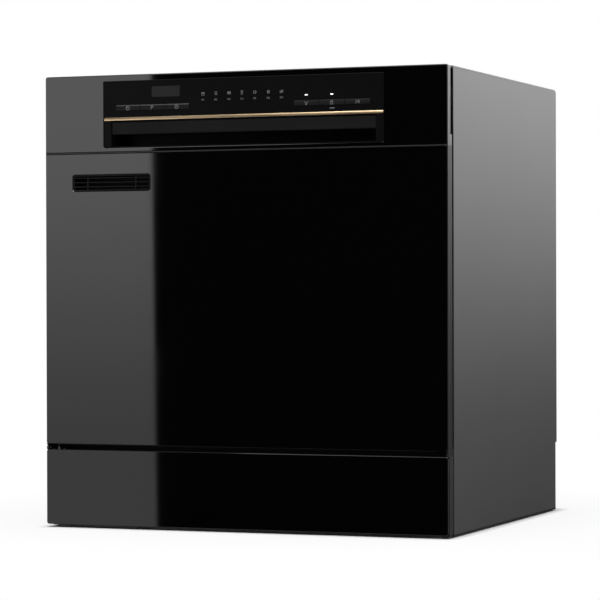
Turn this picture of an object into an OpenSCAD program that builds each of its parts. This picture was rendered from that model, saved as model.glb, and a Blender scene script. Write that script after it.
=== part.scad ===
// Countertop dishwasher for about eight place settings, with a drop-down front door,
// two pull-out racks and a black glass front in three panes.
// Frame: +X to the right seen from the front, +Y to the back, +Z up, and the origin
// at the bottom centre of the machine. All sizes are in millimetres.

/* [Overall size] */
// Width over the front frames and the side panels
body_w = 550; // [500:1:660]
// Height from the surface it stands on to the top panel
body_h = 585; // [560:1:702]
// Depth from the front glass to the end of the water inlet thread
body_d = 500; // [480:1:600]

/* [Cabinet] */
// Distance from the front glass back to the front edge of the side panels
side_setback = 23; // [21:1:30]
// How far the water inlet thread stands out behind the side panels
rear_reach = 16; // [12:1:24]
// Thickness of the steel side, top and back sheets
sheet_t = 1; // [0.8:0.1:1.2]
// Gap between the side panels' bottom edge and the surface below
side_lift = 4; // [3:0.5:8]
// Height of the plastic base tray's walls above the surface below
tray_top = 97; // [90:1:99]
// Wall thickness of the base tray
tray_wall = 2.5; // [2:0.1:4]
// How far the lower rear of the cabinet is stepped in
rear_step = 6; // [4:1:8]
// Radius of each rubber foot
foot_r = 14; // [10:1:18]

/* [Front panes] */
// Thickness of the glass panes
glass_t = 4; // [3:0.5:5]
// Corner radius of the glass panes
glass_r = 3; // [2:0.5:6]
// Height of the fascia pane with the controls, up to the top edge
fascia_h = 100; // [98:1:110]
// Width of the seam between the fascia pane and the door pane
seam_gap = 2; // [1:0.5:3]
// Height of the door's bottom edge above the surface below
door_bottom = 108; // [106:1:112]
// Height of the top edge of the kick pane
kick_top = 101; // [95:1:102]
// Depth of the side strip beside the fascia, glass included
fascia_strip = 13; // [11:1:14]
// Depth of the side strip beside the door pane, glass included
door_strip = 17; // [14:1:18]
// Depth of the side strip beside the kick pane, glass included
kick_strip = 18; // [14:1:19]

/* [Door] */
// Thickness of the door from the glass to the inner liner face
door_t = 42; // [40:1:48]
// Gap between the back of the door glass and the hinge ears
hinge_back = 0.5; // [0.3:0.1:2]
// Height of the hinge axis above the door's bottom edge
hinge_up = 8; // [7:0.5:9]
// Radius of the hinge pins
hinge_pin_r = 3; // [2.5:0.1:4]

/* [Controls] */
// Width of the dark control insert in the fascia
window_w = 383; // [370:1:400]
// Height of the dark control insert
window_h = 85.8; // [80:0.2:88]
// Distance from the top of the insert to the top of the machine
window_drop = 8.4; // [7:0.2:12]
// Width of the finger pocket under the gold strip
pocket_w = 362; // [340:1:370]
// Depth of the finger pocket behind the fascia
pocket_d = 34; // [28:1:36]
// Height of the release paddle
paddle_h = 16.6; // [12:0.2:18]
// Travel of the push keys
key_travel = 1.2; // [0.8:0.1:1.4]
// Width of each bar of three keys
key_bar_w = 102.5; // [96:0.5:108]
// Height of the keys
key_h = 7.4; // [6:0.2:9]
// Distance of the two key bars from the middle
key_bar_x = 122.9; // [118:0.1:128]

/* [Wash chamber] */
// Distance between the tub's outer wall and the outside of the cabinet
tub_side_gap = 21; // [20:1:26]
// Wall thickness of the tub
tub_t = 1; // [0.8:0.1:1.5]
// Height of the tub floor's upper face
tub_floor = 127; // [126:1:130]
// Distance from the tub's inner ceiling to the top of the machine
tub_drop = 25; // [24:1:30]
// Distance between the tub's outer rear wall and the side panels' rear edge
tub_rear_gap = 29; // [26:1:40]

/* [Racks] */
// Wire radius of both racks
wire_r = 1.8; // [1.5:0.1:2.2]
// Wire radius of the racks' rims
rim_r = 2.5; // [2:0.1:3]
// Height of the lower rack's base wires
lower_base = 163; // [162:0.5:170]
// Height of the lower rack's rim
lower_rim = 290; // [270:1:300]
// Distance from the upper rack's base wires to the tub's ceiling
upper_drop = 175; // [165:1:185]
// Height of the upper rack's sides
upper_side_h = 75; // [60:1:85]
// Radius of the lower rack's wheels
rack_wheel_r = 12; // [10:0.5:13]
// Radius of the rollers that carry the upper rack
roller_r = 9.5; // [8:0.1:10]
// Length of each half of the spray arms
arm_reach = 185; // [150:1:186]

/* [Hidden] */
$fn = 48;

// Clearances
eps = 0.01;
run_fit = 0.05;      // radial clearance of a shaft that turns in a bore
soft_gap = 0.3;      // clearance between pieces that only come close
part_gap = 0.05;     // slit between the plates of the tray and of the tub
panel_gap = 0.3;     // slit between the flat wire panels of a rack
glass_inset = 0.5;   // the glass stops this far inside its frame's edge
rim_t = 2.5;         // wall of the plastic front frames
web_t = 1.5;         // carrier sheet that the glass is bonded to
pan_t = 0.8;         // sheet of the door's inner liner

// Cabinet positions
half_w = body_w / 2;
front_y = -body_d / 2;
rear_y = body_d / 2;
side_front = front_y + side_setback;
side_rear = rear_y - rear_reach;
side_in = half_w - sheet_t;
top_hem = 3;
side_top = body_h - top_hem;
glass_back = front_y + glass_t;
web_back = glass_back + web_t;
tray_rear = side_rear - rear_step;
tray_front = side_front - 2;
tray_floor = side_lift + 3;
tray_in = side_in - tray_wall;
step_z = tray_top - 2;
foot_x = half_w - 45;
foot_rows = [tray_front + 40, tray_rear - 40];

// Door positions
seam_z = body_h - fascia_h;
liner_y = front_y + door_t;
pan_half = half_w - 15;
pan_bottom = door_bottom + 4;
pan_top = body_h - 13;
ear_r = hinge_pin_r + 2.5;
hinge_y = glass_back + hinge_back + ear_r;
hinge_z = door_bottom + hinge_up;
arm_t = 2;
pocket_in = pan_half - soft_gap;
pocket_out = half_w - rim_t;
tail_y = hinge_y + 25;
tail_z = hinge_z - 16;

// Controls
window_top = body_h - window_drop;
window_bottom = window_top - window_h;
window_fit = 0.3;
panel_face = front_y + 1;
panel_back = web_back;
flange_w = 6;
strip_h = 4;
strip_z = window_bottom + 35.3;
pocket_floor = window_bottom + 2;
pocket_roof = strip_z - 0.4;
pocket_back = front_y + pocket_d;
paddle_top = pocket_roof - 1;
paddle_pivot_y = front_y + 6.5;
paddle_pivot_z = paddle_top - 3;
key_z = window_bottom + 51.5;
key_w = key_bar_w / 3 - 0.4;
key_pitch = key_bar_w / 3;
display_x = -104.5;
display_w = 40;
display_h = 14.6;
display_z = window_bottom + 63.8;
board_y = front_y + 13.5;
switch_y = front_y + 10;
vent_left = -half_w + 39.2;
vent_w = 110;
vent_h = 21.6;
vent_z = seam_z - 49.5;

// Wash chamber positions
gasket_t = 5;
flange_y = liner_y + gasket_t;
tub_y0 = flange_y + tub_t;
tub_y1 = side_rear - tub_rear_gap;
tub_out = half_w - tub_side_gap;
tub_in = tub_out - tub_t;
tub_back = tub_y1 - tub_t;
tub_base = tub_floor - tub_t;
tub_top = body_h - tub_drop;
flange_out = tub_out + 8;
flange_top = tub_top + 13;
flange_bottom = tub_base - 15;
sump_r = 72;
sump_floor = 72;
sump_ledge = 6;
post_r = 10;
spindle_r = 7;
arm_z = 139;
arm_t_z = 11;
cup_x = 40;
cup_r = 26;
salt_x = -tub_in + 82;
salt_y = tub_back - 78;
salt_r = 30;
pump_y = 0;
pump_z = 46;
volute_x = 80;
volute_r = 36;
volute_w = 28;
motor_r = 31;
motor_l = 82;
drain_x = -100;
drain_z = 58;
valve_x = 150;
valve_z = 60;
gland_x = 200;
gland_z = 60;
insulation_t = 5;
air_y = [-60, 120];
air_z = [180, 420];
duct_y = tub_back - 6;
pipe_z = 92;
pipe_x = volute_x + 14;
heater_end = pump_y + 120;
outlet_face = pump_y + 10;
shaft_r = 4;

// Detergent dispenser and latch
soap_x = -88;
soap_w = 156;
soap_z = 244;
soap_h = 137;
soap_face = liner_y - 3;
lid_face = soap_face + 2 + soft_gap;
lid_t = 2.5;
cup_w = 56;
cup_h = 56;
rinse_x = 40;
rinse_z = 282;
latch_y = glass_back + 10;
latch_z = pan_top + 5;

// Racks
rack_front = liner_y + 20;
rack_rear = tub_back - 23;
rack_half = tub_in - 20;
slope = 40;
axle_r = 3;
wheel_w = 7;
wheel_in = tub_in - 12;
wheel_y = 110;
wheel_z = lower_base - 1;
ledge_top = wheel_z - rack_wheel_r - soft_gap;
ledge_in = tub_in - 14;
upper_base = tub_top - upper_drop;
upper_rim = upper_base + upper_side_h;
upper_half = tub_in - 16;
rail_z = upper_base + 45;
rail_h = 2 * (roller_r + soft_gap) + 2.4;
rail_x = tub_in - 10.5;
rail_w = 9.5;
roller_w = 6;
roller_x = tub_in - 8.5;
roller_front_y = rack_front + 8;
roller_gap = 55;
feed_z = upper_base - 17;
feed_r = 9;
pipe_r = feed_r - 0.5;
upper_arm_z = feed_z - 21;
basket_x = 28;
basket_w = 192;
basket_d = 80;
basket_h = 104;
basket_t = 2;

// ---------------------------------------------------------------- helpers

// A block from its lowest corner to its highest one
module box(low, high) {
    translate(low) cube(high - low);
}

// The children and their mirror image to the left
module both_sides() {
    children();
    mirror([1, 0, 0]) children();
}

// Round bars and drums along each axis
module bar_x(x0, x1, y, z, r) {
    translate([x0, y, z]) rotate([0, 90, 0]) cylinder(h = x1 - x0, r = r);
}
module bar_y(x, y0, y1, z, r) {
    translate([x, y0, z]) rotate([-90, 0, 0]) cylinder(h = y1 - y0, r = r);
}
module bar_z(x, y, z0, z1, r) {
    translate([x, y, z0]) cylinder(h = z1 - z0, r = r);
}

// Straight four-sided wire between two points
module wire(a, b, r) {
    d = b - a;
    len = norm(d);
    translate(a)
        rotate([0, acos(d[2] / len), atan2(d[1], d[0])])
            cylinder(h = len, r = r, $fn = 4);
}

// Outline with rounded corners, drawn from exact circles
module rounded(w, h, r) {
    square([w - 2 * r, h], center = true);
    square([w, h - 2 * r], center = true);
    for (sx = [-1, 1], sz = [-1, 1])
        translate([sx * (w / 2 - r), sz * (h / 2 - r)]) circle(r);
}

// Upright plate facing the front, between two corners in X and Z
module plate(x0, x1, z0, z1, y0, y1, r) {
    translate([(x0 + x1) / 2, y1, (z0 + z1) / 2])
        rotate([90, 0, 0])
            linear_extrude(y1 - y0) rounded(x1 - x0, z1 - z0, r);
}

// Outline in Y and Z, pushed out along X
module side_cut(x0, x1) {
    translate([x0, 0, 0])
        rotate([90, 0, 90])
            linear_extrude(x1 - x0) children();
}

// A straight link outline between two points, with rounded ends
module link(a, b, w) {
    d = b - a;
    translate(a)
        rotate(atan2(d[1], d[0]))
            translate([0, -w / 2]) square([norm(d), w]);
    translate(a) circle(w / 2);
    translate(b) circle(w / 2);
}

// ---------------------------------------------------------------- cabinet

// Tray of a floor, four walls and four pillars, each a solid of its own
module base_tray() {
    wall_z = tray_floor + part_gap;
    color([0.07, 0.07, 0.075]) {
        difference() {
            union() {
                box([-half_w, tray_front, 1.5], [half_w, tray_rear, side_lift]);
                box([-side_in, tray_front, side_lift - eps], [side_in, tray_rear, tray_floor]);
            }
            tray_foot_wells();
        }
        box([-side_in, tray_front, wall_z], [side_in, tray_front + tray_wall, tray_top]);
        both_sides()
            box([tray_in, tray_front + tray_wall + part_gap, wall_z],
                [side_in, tray_rear - tray_wall - part_gap, tray_top]);
        tray_rear_wall(wall_z);
        tray_pillars(wall_z);
    }
}

// Rear wall with the holes of the connections, and a ledge that meets the back panel
module tray_rear_wall(z) {
    difference() {
        union() {
            box([-side_in, tray_rear - tray_wall, z], [side_in, tray_rear, tray_top]);
            box([-side_in, tray_rear - tray_wall, step_z],
                [side_in, side_rear - 2 * sheet_t, tray_top]);
        }
        bar_y(valve_x, tray_rear - 5, tray_rear + 1, valve_z, 14);
        bar_y(drain_x, tray_rear - 5, tray_rear + 1, drain_z, 10.3);
        bar_y(gland_x, tray_rear - 5, tray_rear + 1, gland_z, 8.3);
    }
}

// Wells for the feet, and the raised middle of the tray's underside
module tray_foot_wells() {
    both_sides()
        for (y = foot_rows)
            bar_z(foot_x, y, 0, side_lift, foot_r + soft_gap);
    box([-half_w + 20, tray_front + 65, 0], [half_w - 20, tray_rear - 65, side_lift]);
}

// Pillars that carry the tub's corners
module tray_pillars(z) {
    both_sides()
        for (y = [tub_y0 + 8, tub_back - 34])
            box([tub_in - 28, y, z], [tub_in - 4, y + 24, tub_base]);
}

module rubber_feet() {
    color([0.05, 0.05, 0.05])
        both_sides()
            for (y = foot_rows)
                bar_z(foot_x, y, 0, side_lift, foot_r);
}

// Right side sheet with its folded rear and top edges
module side_sheet() {
    fold = 11;
    difference() {
        union() {
            box([side_in, side_front, side_lift], [half_w, side_rear, side_top]);
            box([side_in - fold, side_rear - sheet_t, tray_top],
                [side_in + eps, side_rear, side_top]);
            box([side_in - fold, side_front + 30, side_top - sheet_t],
                [side_in + eps, side_rear, side_top]);
        }
        box([side_in - fold - 1, side_rear - rear_step, side_lift - 1],
            [half_w + 1, side_rear + 1, step_z]);
    }
}

module side_panel_right() {
    color([0.42, 0.42, 0.43]) side_sheet();
}

module side_panel_left() {
    color([0.42, 0.42, 0.43]) mirror([1, 0, 0]) side_sheet();
}

module top_panel() {
    color([0.36, 0.36, 0.37]) difference() {
        box([-half_w, side_front, side_top], [half_w, side_rear, body_h]);
        box([-side_in, side_front + sheet_t, side_top - 1],
            [side_in, side_rear - sheet_t, body_h - sheet_t]);
    }
}

module back_panel() {
    panel_y = side_rear - 2 * sheet_t;
    color([0.5, 0.5, 0.51]) difference() {
        union() {
            box([-side_in + 0.5, panel_y, tray_top],
                [side_in - 0.5, panel_y + sheet_t, side_top - sheet_t]);
            for (x = [-150, 0, 150])
                box([x - 45, panel_y - 2, tray_top + 70], [x + 45, panel_y + eps, side_top - 70]);
        }
        for (x = [-150, 0, 150])
            box([x - 44, panel_y - 1, tray_top + 71], [x + 44, panel_y + 2, side_top - 71]);
    }
}

// Steel frame behind the tub's front flange, with the top rail
module front_frame() {
    frame_t = 1.2;
    color([0.6, 0.6, 0.62]) {
        difference() {
            box([-side_in, tub_y0, tray_top], [side_in, tub_y0 + frame_t, side_top]);
            box([-tub_out - soft_gap, tub_y0 - 1, tub_base - soft_gap],
                [tub_out + soft_gap, tub_y0 + 3, tub_top + tub_t + soft_gap]);
        }
        box([-side_in + 2, tub_y0 - 11, side_top - sheet_t],
            [side_in - 2, tub_y0 + frame_t, side_top]);
        box([-side_in + 2, tub_y0, side_top - 14], [side_in - 2, tub_y0 + 24, side_top - 13]);
    }
}

module kick_frame() {
    frame_back = front_y + kick_strip;
    // Ends of the bottom tabs, from the left edge
    tabs = [[15, 32], [66, 129], [146, 273], [295, 424], [445, 498]];
    end_tab = 10.5;
    boss_z = 60;
    color([0.09, 0.09, 0.095]) {
        both_sides()
            box([half_w - rim_t, glass_back, side_lift], [half_w, frame_back, kick_top]);
        box([-half_w, glass_back, side_lift], [half_w, web_back, kick_top]);
        box([-half_w, glass_back, kick_top - rim_t], [half_w, front_y + fascia_strip, kick_top]);
        for (t = tabs)
            box([t[0] - half_w, glass_back, 1.5],
                [t[1] - half_w, front_y + fascia_strip, side_lift + eps]);
        box([half_w - end_tab, glass_back, 1.5], [half_w, front_y + fascia_strip, side_lift + eps]);
        box([-half_w, glass_back, side_lift], [half_w, front_y + fascia_strip, side_lift + 2]);
        both_sides()
            for (x = [90, 225])
                bar_y(x, web_back - eps, tray_front, boss_z, 5);
    }
}

module kick_glass() {
    color([0.03, 0.03, 0.032])
        plate(-half_w + glass_inset, half_w - glass_inset, side_lift, kick_top,
              front_y, glass_back, glass_r);
}

module cabinet_screws() {
    head_r = 4;
    color([0.7, 0.7, 0.72])
        both_sides()
            for (z = [tray_top + 25, (tray_top + side_top) / 2, side_top - 25])
                bar_y(side_in - 5.5, side_rear, side_rear + 2, z, head_r);
}

// ---------------------------------------------------------------- wash chamber

// Chamber of flat plates, each a solid of its own, with its front flange, ledges and studs
module tub() {
    plate_in = tub_in - part_gap;
    plate_back = tub_back - part_gap;
    color([0.72, 0.73, 0.74]) {
        difference() {
            box([-tub_out, tub_back, tub_base], [tub_out, tub_y1, tub_top + tub_t]);
            bar_z(0, duct_y, tub_base - 1, tub_floor + 1, feed_r + soft_gap);
        }
        both_sides()
            box([tub_in, flange_y, tub_base], [tub_out, plate_back, tub_top + tub_t]);
        box([-plate_in, flange_y, tub_top], [plate_in, plate_back, tub_top + tub_t]);
        difference() {
            box([-plate_in, flange_y, tub_base], [plate_in, plate_back, tub_floor]);
            bar_z(0, 0, tub_base - 1, tub_floor + 1, sump_r);
            bar_z(salt_x, salt_y, tub_base - 1, tub_floor + 1, salt_r + 1);
            bar_z(0, duct_y, tub_base - 1, tub_floor + 1, feed_r + soft_gap);
        }
        tub_flange();
        both_sides() {
            box([ledge_in, flange_y + 8, tub_floor + part_gap],
                [plate_in, tub_back - 8, ledge_top]);
            for (i = [0, 1])
                roller_stud(roller_front_y + i * roller_gap);
        }
    }
}

// Four strips round the chamber's mouth, that the door seal sits on
module tub_flange() {
    side_x = tub_out + part_gap;
    roof_z = tub_top + tub_t;
    box([-flange_out, flange_y, flange_bottom], [flange_out, tub_y0, tub_base - part_gap]);
    box([-flange_out, flange_y, roof_z + part_gap], [flange_out, tub_y0, flange_top]);
    both_sides() box([side_x, flange_y, tub_base], [flange_out, tub_y0, roof_z]);
}

// Stud on the tub wall that a roller turns on
module roller_stud(y) {
    bar_x(roller_x - 0.3, tub_in - part_gap, y, rail_z, axle_r);
    bar_x(tub_in - 1.5, tub_in - part_gap, y, rail_z, axle_r + 2);
}

module tub_gasket() {
    outer = flange_out - 4;
    band = outer - tub_in;
    color([0.13, 0.13, 0.14]) difference() {
        box([-outer, liner_y + soft_gap, flange_bottom + 12], [outer, flange_y, flange_top - 4]);
        box([-outer + band, liner_y - 1, flange_bottom + 11],
            [outer - band, flange_y + 1, flange_top - 4 - band]);
    }
}

module insulation_wrap() {
    inner = tub_out + soft_gap;
    outer = inner + insulation_t;
    roof = tub_top + tub_t + soft_gap;
    color([0.12, 0.12, 0.13]) difference() {
        box([-outer, flange_y + 25, tub_base + 5], [outer, tub_y1, roof + insulation_t]);
        box([-inner, flange_y + 24, tub_base], [inner, tub_y1 + 1, roof]);
        box([-outer - 1, air_y[0] - 5, air_z[0] - 5], [-inner + 1, air_y[1] + 5, air_z[1] + 5]);
    }
}

module sump() {
    wall = 3;
    outer = sump_r + 4;
    color([0.1, 0.1, 0.11]) difference() {
        union() {
            bar_z(0, 0, sump_floor, tub_base, outer);
            bar_z(0, 0, tub_base - 3, tub_base, outer + 9);
            bar_z(0, 0, pump_z - 14, sump_floor + eps, 14);
            bar_x(0, volute_x, pump_y, pump_z, 14);
        }
        bar_z(0, 0, sump_floor + wall, tub_base - 3, sump_r - sump_ledge);
        bar_z(0, 0, tub_base - 3 - eps, tub_base + 1, sump_r - sump_ledge);
        bar_z(22, 0, pump_z, sump_floor + wall + 1, 6);
        bar_x(8, volute_x + 1, pump_y, pump_z, 11);
    }
    color([0.1, 0.1, 0.11]) {
        bar_z(0, 0, sump_floor, arm_z - 2, post_r);
        bar_z(0, 0, arm_z - 2 - eps, arm_z + arm_t_z + soft_gap, spindle_r);
        bar_z(0, 0, arm_z + arm_t_z + soft_gap, arm_z + arm_t_z + 3.5, spindle_r + 4);
    }
}

// Perforated steel plate around the filter cup and the hub
module fine_filter() {
    color([0.62, 0.63, 0.64]) difference() {
        bar_z(0, 0, tub_base, tub_base + 1.5, sump_r - 0.5);
        bar_z(0, 0, tub_base - 1, tub_base + 3, post_r + 0.5);
        bar_z(cup_x, 0, tub_base - 1, tub_base + 3, cup_r + 0.5);
        for (a = [60 : 15 : 300])
            rotate(a) translate([46, 0, tub_base - 1]) rounded_slot(30, 3, 4);
    }
}

// Slot with round ends, cut upwards
module rounded_slot(l, w, h) {
    linear_extrude(h) {
        square([l - w, w], center = true);
        for (s = [-1, 1]) translate([s * (l - w) / 2, 0]) circle(w / 2);
    }
}

// Removable coarse filter with a grip bar, held by a part turn
module filter_cup() {
    wall = 2;
    lip_z = tub_base + 2;
    color([0.3, 0.31, 0.32]) {
        difference() {
            union() {
                bar_z(cup_x, 0, sump_floor + 8, lip_z, cup_r - 2);
                bar_z(cup_x, 0, tub_base + 1.8, tub_base + 4, cup_r + 1.5);
            }
            bar_z(cup_x, 0, sump_floor + 8 + wall, tub_base + 5, cup_r - 2 - wall);
        }
        box([cup_x - cup_r + 3, -2, tub_base + 1.8], [cup_x + cup_r - 3, 2, tub_base + 9]);
    }
}

// Spray arm blade outline, seen from above
module blade_outline() {
    root_w = 34;
    tip_w = 22;
    tip_r = tip_w / 2;
    polygon([[0, -root_w / 2], [arm_reach - tip_r, -tip_r],
             [arm_reach - tip_r, tip_r], [0, root_w / 2]]);
    translate([arm_reach - tip_r, 0]) circle(tip_r);
}

// Two-bladed spray arm with jets on its upper face
module spray_arm(z0) {
    hub_r = 24;
    jet_h = 1.2;
    difference() {
        union() {
            bar_z(0, 0, z0, z0 + arm_t_z, hub_r);
            for (a = [0, 180])
                rotate(a) translate([0, 0, z0 + 1]) linear_extrude(arm_t_z - 2) blade_outline();
            for (a = [0, 180], d = [60 : 28 : 172])
                rotate(a) bar_z(d, 4, z0 + arm_t_z - 1 - eps, z0 + arm_t_z - 1 + jet_h, 3.4);
        }
        bar_z(0, 0, z0 - 2, z0 + arm_t_z + 2, spindle_r + run_fit);
    }
}

module lower_spray_arm() {
    color([0.33, 0.34, 0.36]) spray_arm(arm_z);
}

// Feed for the upper arm: under the tub, up through its floor and up its rear wall
module rear_duct() {
    color([0.55, 0.56, 0.58]) {
        box([-15, tub_back - 12, tub_floor], [15, tub_back, feed_z + 12]);
        bar_y(0, rack_rear + 4 + soft_gap, tub_back - 12 + eps, feed_z, feed_r + 1);
        bar_z(0, duct_y, pipe_z, tub_floor + eps, feed_r);
        translate([0, duct_y, pipe_z]) sphere(feed_r);
        bar_x(0, pipe_x, duct_y, pipe_z, pipe_r);
        translate([pipe_x, duct_y, pipe_z]) sphere(feed_r - 0.2);
        bar_y(pipe_x, heater_end, duct_y, pipe_z, pipe_r);
    }
}

module water_softener() {
    color([0.8, 0.8, 0.8]) difference() {
        union() {
            box([salt_x - 52, salt_y - 62, tray_floor], [salt_x + 52, salt_y + 62, 112]);
            bar_z(salt_x, salt_y, 112 - eps, tub_floor + 2, salt_r);
            bar_z(salt_x, salt_y, tub_floor, tub_floor + 2, salt_r + 6);
        }
        bar_z(salt_x, salt_y, 40, tub_floor + 3, salt_r - 3);
    }
}

// Screw cap of the salt container, with a grip bar
module salt_cap() {
    seat = tub_floor + 2 + soft_gap;
    color([0.25, 0.26, 0.27]) {
        bar_z(salt_x, salt_y, seat, seat + 5, salt_r + 4);
        bar_z(salt_x, salt_y, seat - 16, seat + eps, salt_r - 3.4);
        box([salt_x - 24, salt_y - 3, seat + 5 - eps], [salt_x + 24, salt_y + 3, seat + 9]);
    }
}

// ---------------------------------------------------------------- base machinery

// Circulation pump with its motor and the heater on its outlet
module wash_pump() {
    x1 = volute_x + volute_w;
    heater_start = pump_y + 40;
    heater_r = 17;
    color([0.2, 0.2, 0.21]) difference() {
        union() {
            bar_x(volute_x, x1, pump_y, pump_z, volute_r);
            bar_x(x1 - eps, x1 + motor_l, pump_y, pump_z, motor_r);
            bar_y(pipe_x, outlet_face, heater_start, pump_z + 24, 10);
            bar_z(pipe_x, heater_start, pump_z + 20, pipe_z, 10);
            bar_y(pipe_x, heater_start, heater_end - 10, pipe_z, heater_r);
            bar_y(pipe_x, heater_end - 10 - eps, heater_end, pipe_z, pipe_r + 1);
            box([x1 + 12, pump_y - 20, tray_floor], [x1 + motor_l - 12, pump_y + 20, pump_z - 20]);
        }
        bar_x(volute_x + 3, x1 - 3, pump_y, pump_z, volute_r - 4);
        bar_x(volute_x - 1, volute_x + 4, pump_y, pump_z, 11);
        bar_x(x1 - 4, x1 + 40, pump_y, pump_z, shaft_r + run_fit);
    }
}

module wash_impeller() {
    x0 = volute_x + 7;
    color([0.85, 0.85, 0.83]) {
        bar_x(x0 + 8, x0 + 11, pump_y, pump_z, 28);
        bar_x(x0, x0 + 9, pump_y, pump_z, 8);
        bar_x(x0 + 8, volute_x + volute_w + 36, pump_y, pump_z, shaft_r);
        for (a = [0 : 60 : 300])
            translate([x0, pump_y, pump_z]) rotate([a, 0, 0])
                box([0, 6, -1], [9, 26, 1]);
    }
}

// Drain pump beside the sump, with its pipe out through the rear wall
module drain_pump() {
    color([0.16, 0.16, 0.17]) difference() {
        union() {
            bar_x(drain_x - 52, drain_x + 12, pump_y, drain_z, 21);
            bar_x(drain_x + 12 - eps, -sump_r - 4, pump_y, sump_floor + 12, 9);
            box([drain_x - 40, pump_y - 14, tray_floor], [drain_x, pump_y + 14, drain_z - 14]);
            bar_y(drain_x, pump_y + 10, tray_rear + 18, drain_z, 9.5);
            bar_y(drain_x, tray_rear, tray_rear + 2.5, drain_z, 14);
        }
        bar_y(drain_x, pump_y + 40, tray_rear + 19, drain_z, 7);
    }
}

// Water inlet valve with a three-quarter inch thread behind the rear wall
module inlet_valve() {
    thread_r = 13.2;
    color([0.9, 0.9, 0.88]) difference() {
        union() {
            box([valve_x - 22, tray_rear - 45, valve_z - 20],
                [valve_x + 22, tray_rear - tray_wall, valve_z + 24]);
            bar_y(valve_x, tray_rear - tray_wall - eps, rear_y, valve_z, thread_r);
            bar_y(valve_x, tray_rear, tray_rear + 3, valve_z, 18);
            box([valve_x - 8, tray_rear - 40, tray_floor], [valve_x + 8, tray_rear - 12, valve_z]);
        }
        bar_y(valve_x, tray_rear - 20, rear_y + 1, valve_z, 9);
    }
}

// Flat water chamber between the tub and the left side sheet, ribbed on its outer face
module air_break() {
    color([0.75, 0.77, 0.78]) difference() {
        box([-side_in + 2, air_y[0], air_z[0]], [-tub_out, air_y[1], air_z[1]]);
        for (z = [air_z[0] + 25 : 35 : air_z[1] - 40])
            box([-side_in + 1, air_y[0] + 8, z], [-side_in + 5, air_y[1] - 8, z + 27]);
    }
}

// Terminal box with the gland that the supply lead would come in by
module mains_gland() {
    bore_r = 4.2;
    color([0.08, 0.08, 0.08]) difference() {
        union() {
            box([gland_x - 22, tray_rear - 42, tray_floor],
                [gland_x + 22, tray_rear - tray_wall, gland_z + 22]);
            bar_y(gland_x, tray_rear - tray_wall - eps, tray_rear + 10, gland_z, 8);
            bar_y(gland_x, tray_rear, tray_rear + 3, gland_z, 13);
        }
        bar_y(gland_x, tray_rear - 30, tray_rear + 11, gland_z, bore_r);
    }
}

// ---------------------------------------------------------------- hinges

// Steel bracket at each lower front corner, with its riveted pin
module hinge_brackets() {
    x0 = tray_in - 2.5;
    leg_y = side_front + 5;
    color([0.66, 0.66, 0.68]) both_sides() {
        side_cut(x0, tray_in) {
            translate([hinge_y, hinge_z]) circle(ear_r);
            translate([hinge_y, hinge_z - 5]) square([leg_y + 16 - hinge_y, 10]);
            translate([leg_y, 40]) square([16, hinge_z + 5 - 40]);
        }
        bar_x(pan_half + 0.1, pocket_out - soft_gap, hinge_y, hinge_z, hinge_pin_r);
        bar_x(pan_half + arm_t + 0.2, x0 + eps, hinge_y, hinge_z, hinge_pin_r + 1.8);
        bar_x(tray_in - eps, pocket_out - soft_gap, hinge_y, hinge_z, hinge_pin_r + 1);
    }
}

// Steel arm on each side of the door, with a tail that pulls the spring
module hinge_arms() {
    long_y = (hinge_y + liner_y) / 2 + 1;
    color([0.66, 0.66, 0.68]) both_sides() {
        side_cut(pan_half, pan_half + arm_t) difference() {
            union() {
                link([long_y, hinge_z + 6], [long_y, hinge_z + 170], 18);
                translate([hinge_y, hinge_z]) circle(ear_r);
                translate([hinge_y, hinge_z - 4]) square([long_y - hinge_y, 9]);
                link([hinge_y + 9, hinge_z], [tail_y, tail_z], 8);
            }
            translate([hinge_y, hinge_z]) circle(hinge_pin_r + run_fit);
        }
        bar_x(pan_half + arm_t - eps, pan_half + arm_t + 4, tail_y, tail_z, 2.4);
    }
}

// Balance spring under each hinge arm, drawn as its outer cylinder with end hooks
module door_springs() {
    coil_r = 4;
    x = pan_half + arm_t + 2;
    color([0.75, 0.75, 0.76]) both_sides() {
        bar_z(x, tail_y, 24, tail_z - 10, coil_r);
        bar_z(x, tail_y, tail_z - 10 - eps, tail_z - 2.4 - 0.3, 1.2);
        bar_z(x, tail_y, tray_floor, 24 + eps, 1.5);
    }
}

// Loop on the front frame that the door's latch holds
module door_striker() {
    bar_y0 = flange_y - 20;
    z0 = pan_top + 2;
    color([0.7, 0.7, 0.72]) {
        box([-16, tub_y0 - 2, flange_top + 0.3], [16, tub_y0, side_top - sheet_t]);
        both_sides() box([9, bar_y0, z0], [11.5, tub_y0 - 2 + eps, z0 + 2]);
        box([-11.5, bar_y0, z0], [11.5, bar_y0 + 2.5, z0 + 2]);
    }
}

// ---------------------------------------------------------------- door

module fascia_glass() {
    bottom = seam_z + seam_gap / 2;
    color([0.03, 0.03, 0.032]) difference() {
        plate(-half_w + glass_inset, half_w - glass_inset, bottom, body_h - glass_inset,
              front_y, glass_back, glass_r);
        plate(-window_w / 2, window_w / 2, window_bottom, window_top,
              front_y - 1, glass_back + 1, 2);
    }
}

module door_glass() {
    color([0.03, 0.03, 0.032]) difference() {
        plate(-half_w + glass_inset, half_w - glass_inset,
              door_bottom + glass_inset, seam_z - seam_gap / 2,
              front_y, glass_back, glass_r);
        plate(vent_left, vent_left + vent_w, vent_z, vent_z + vent_h,
              front_y - 1, glass_back + 1, 4);
    }
}

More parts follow.
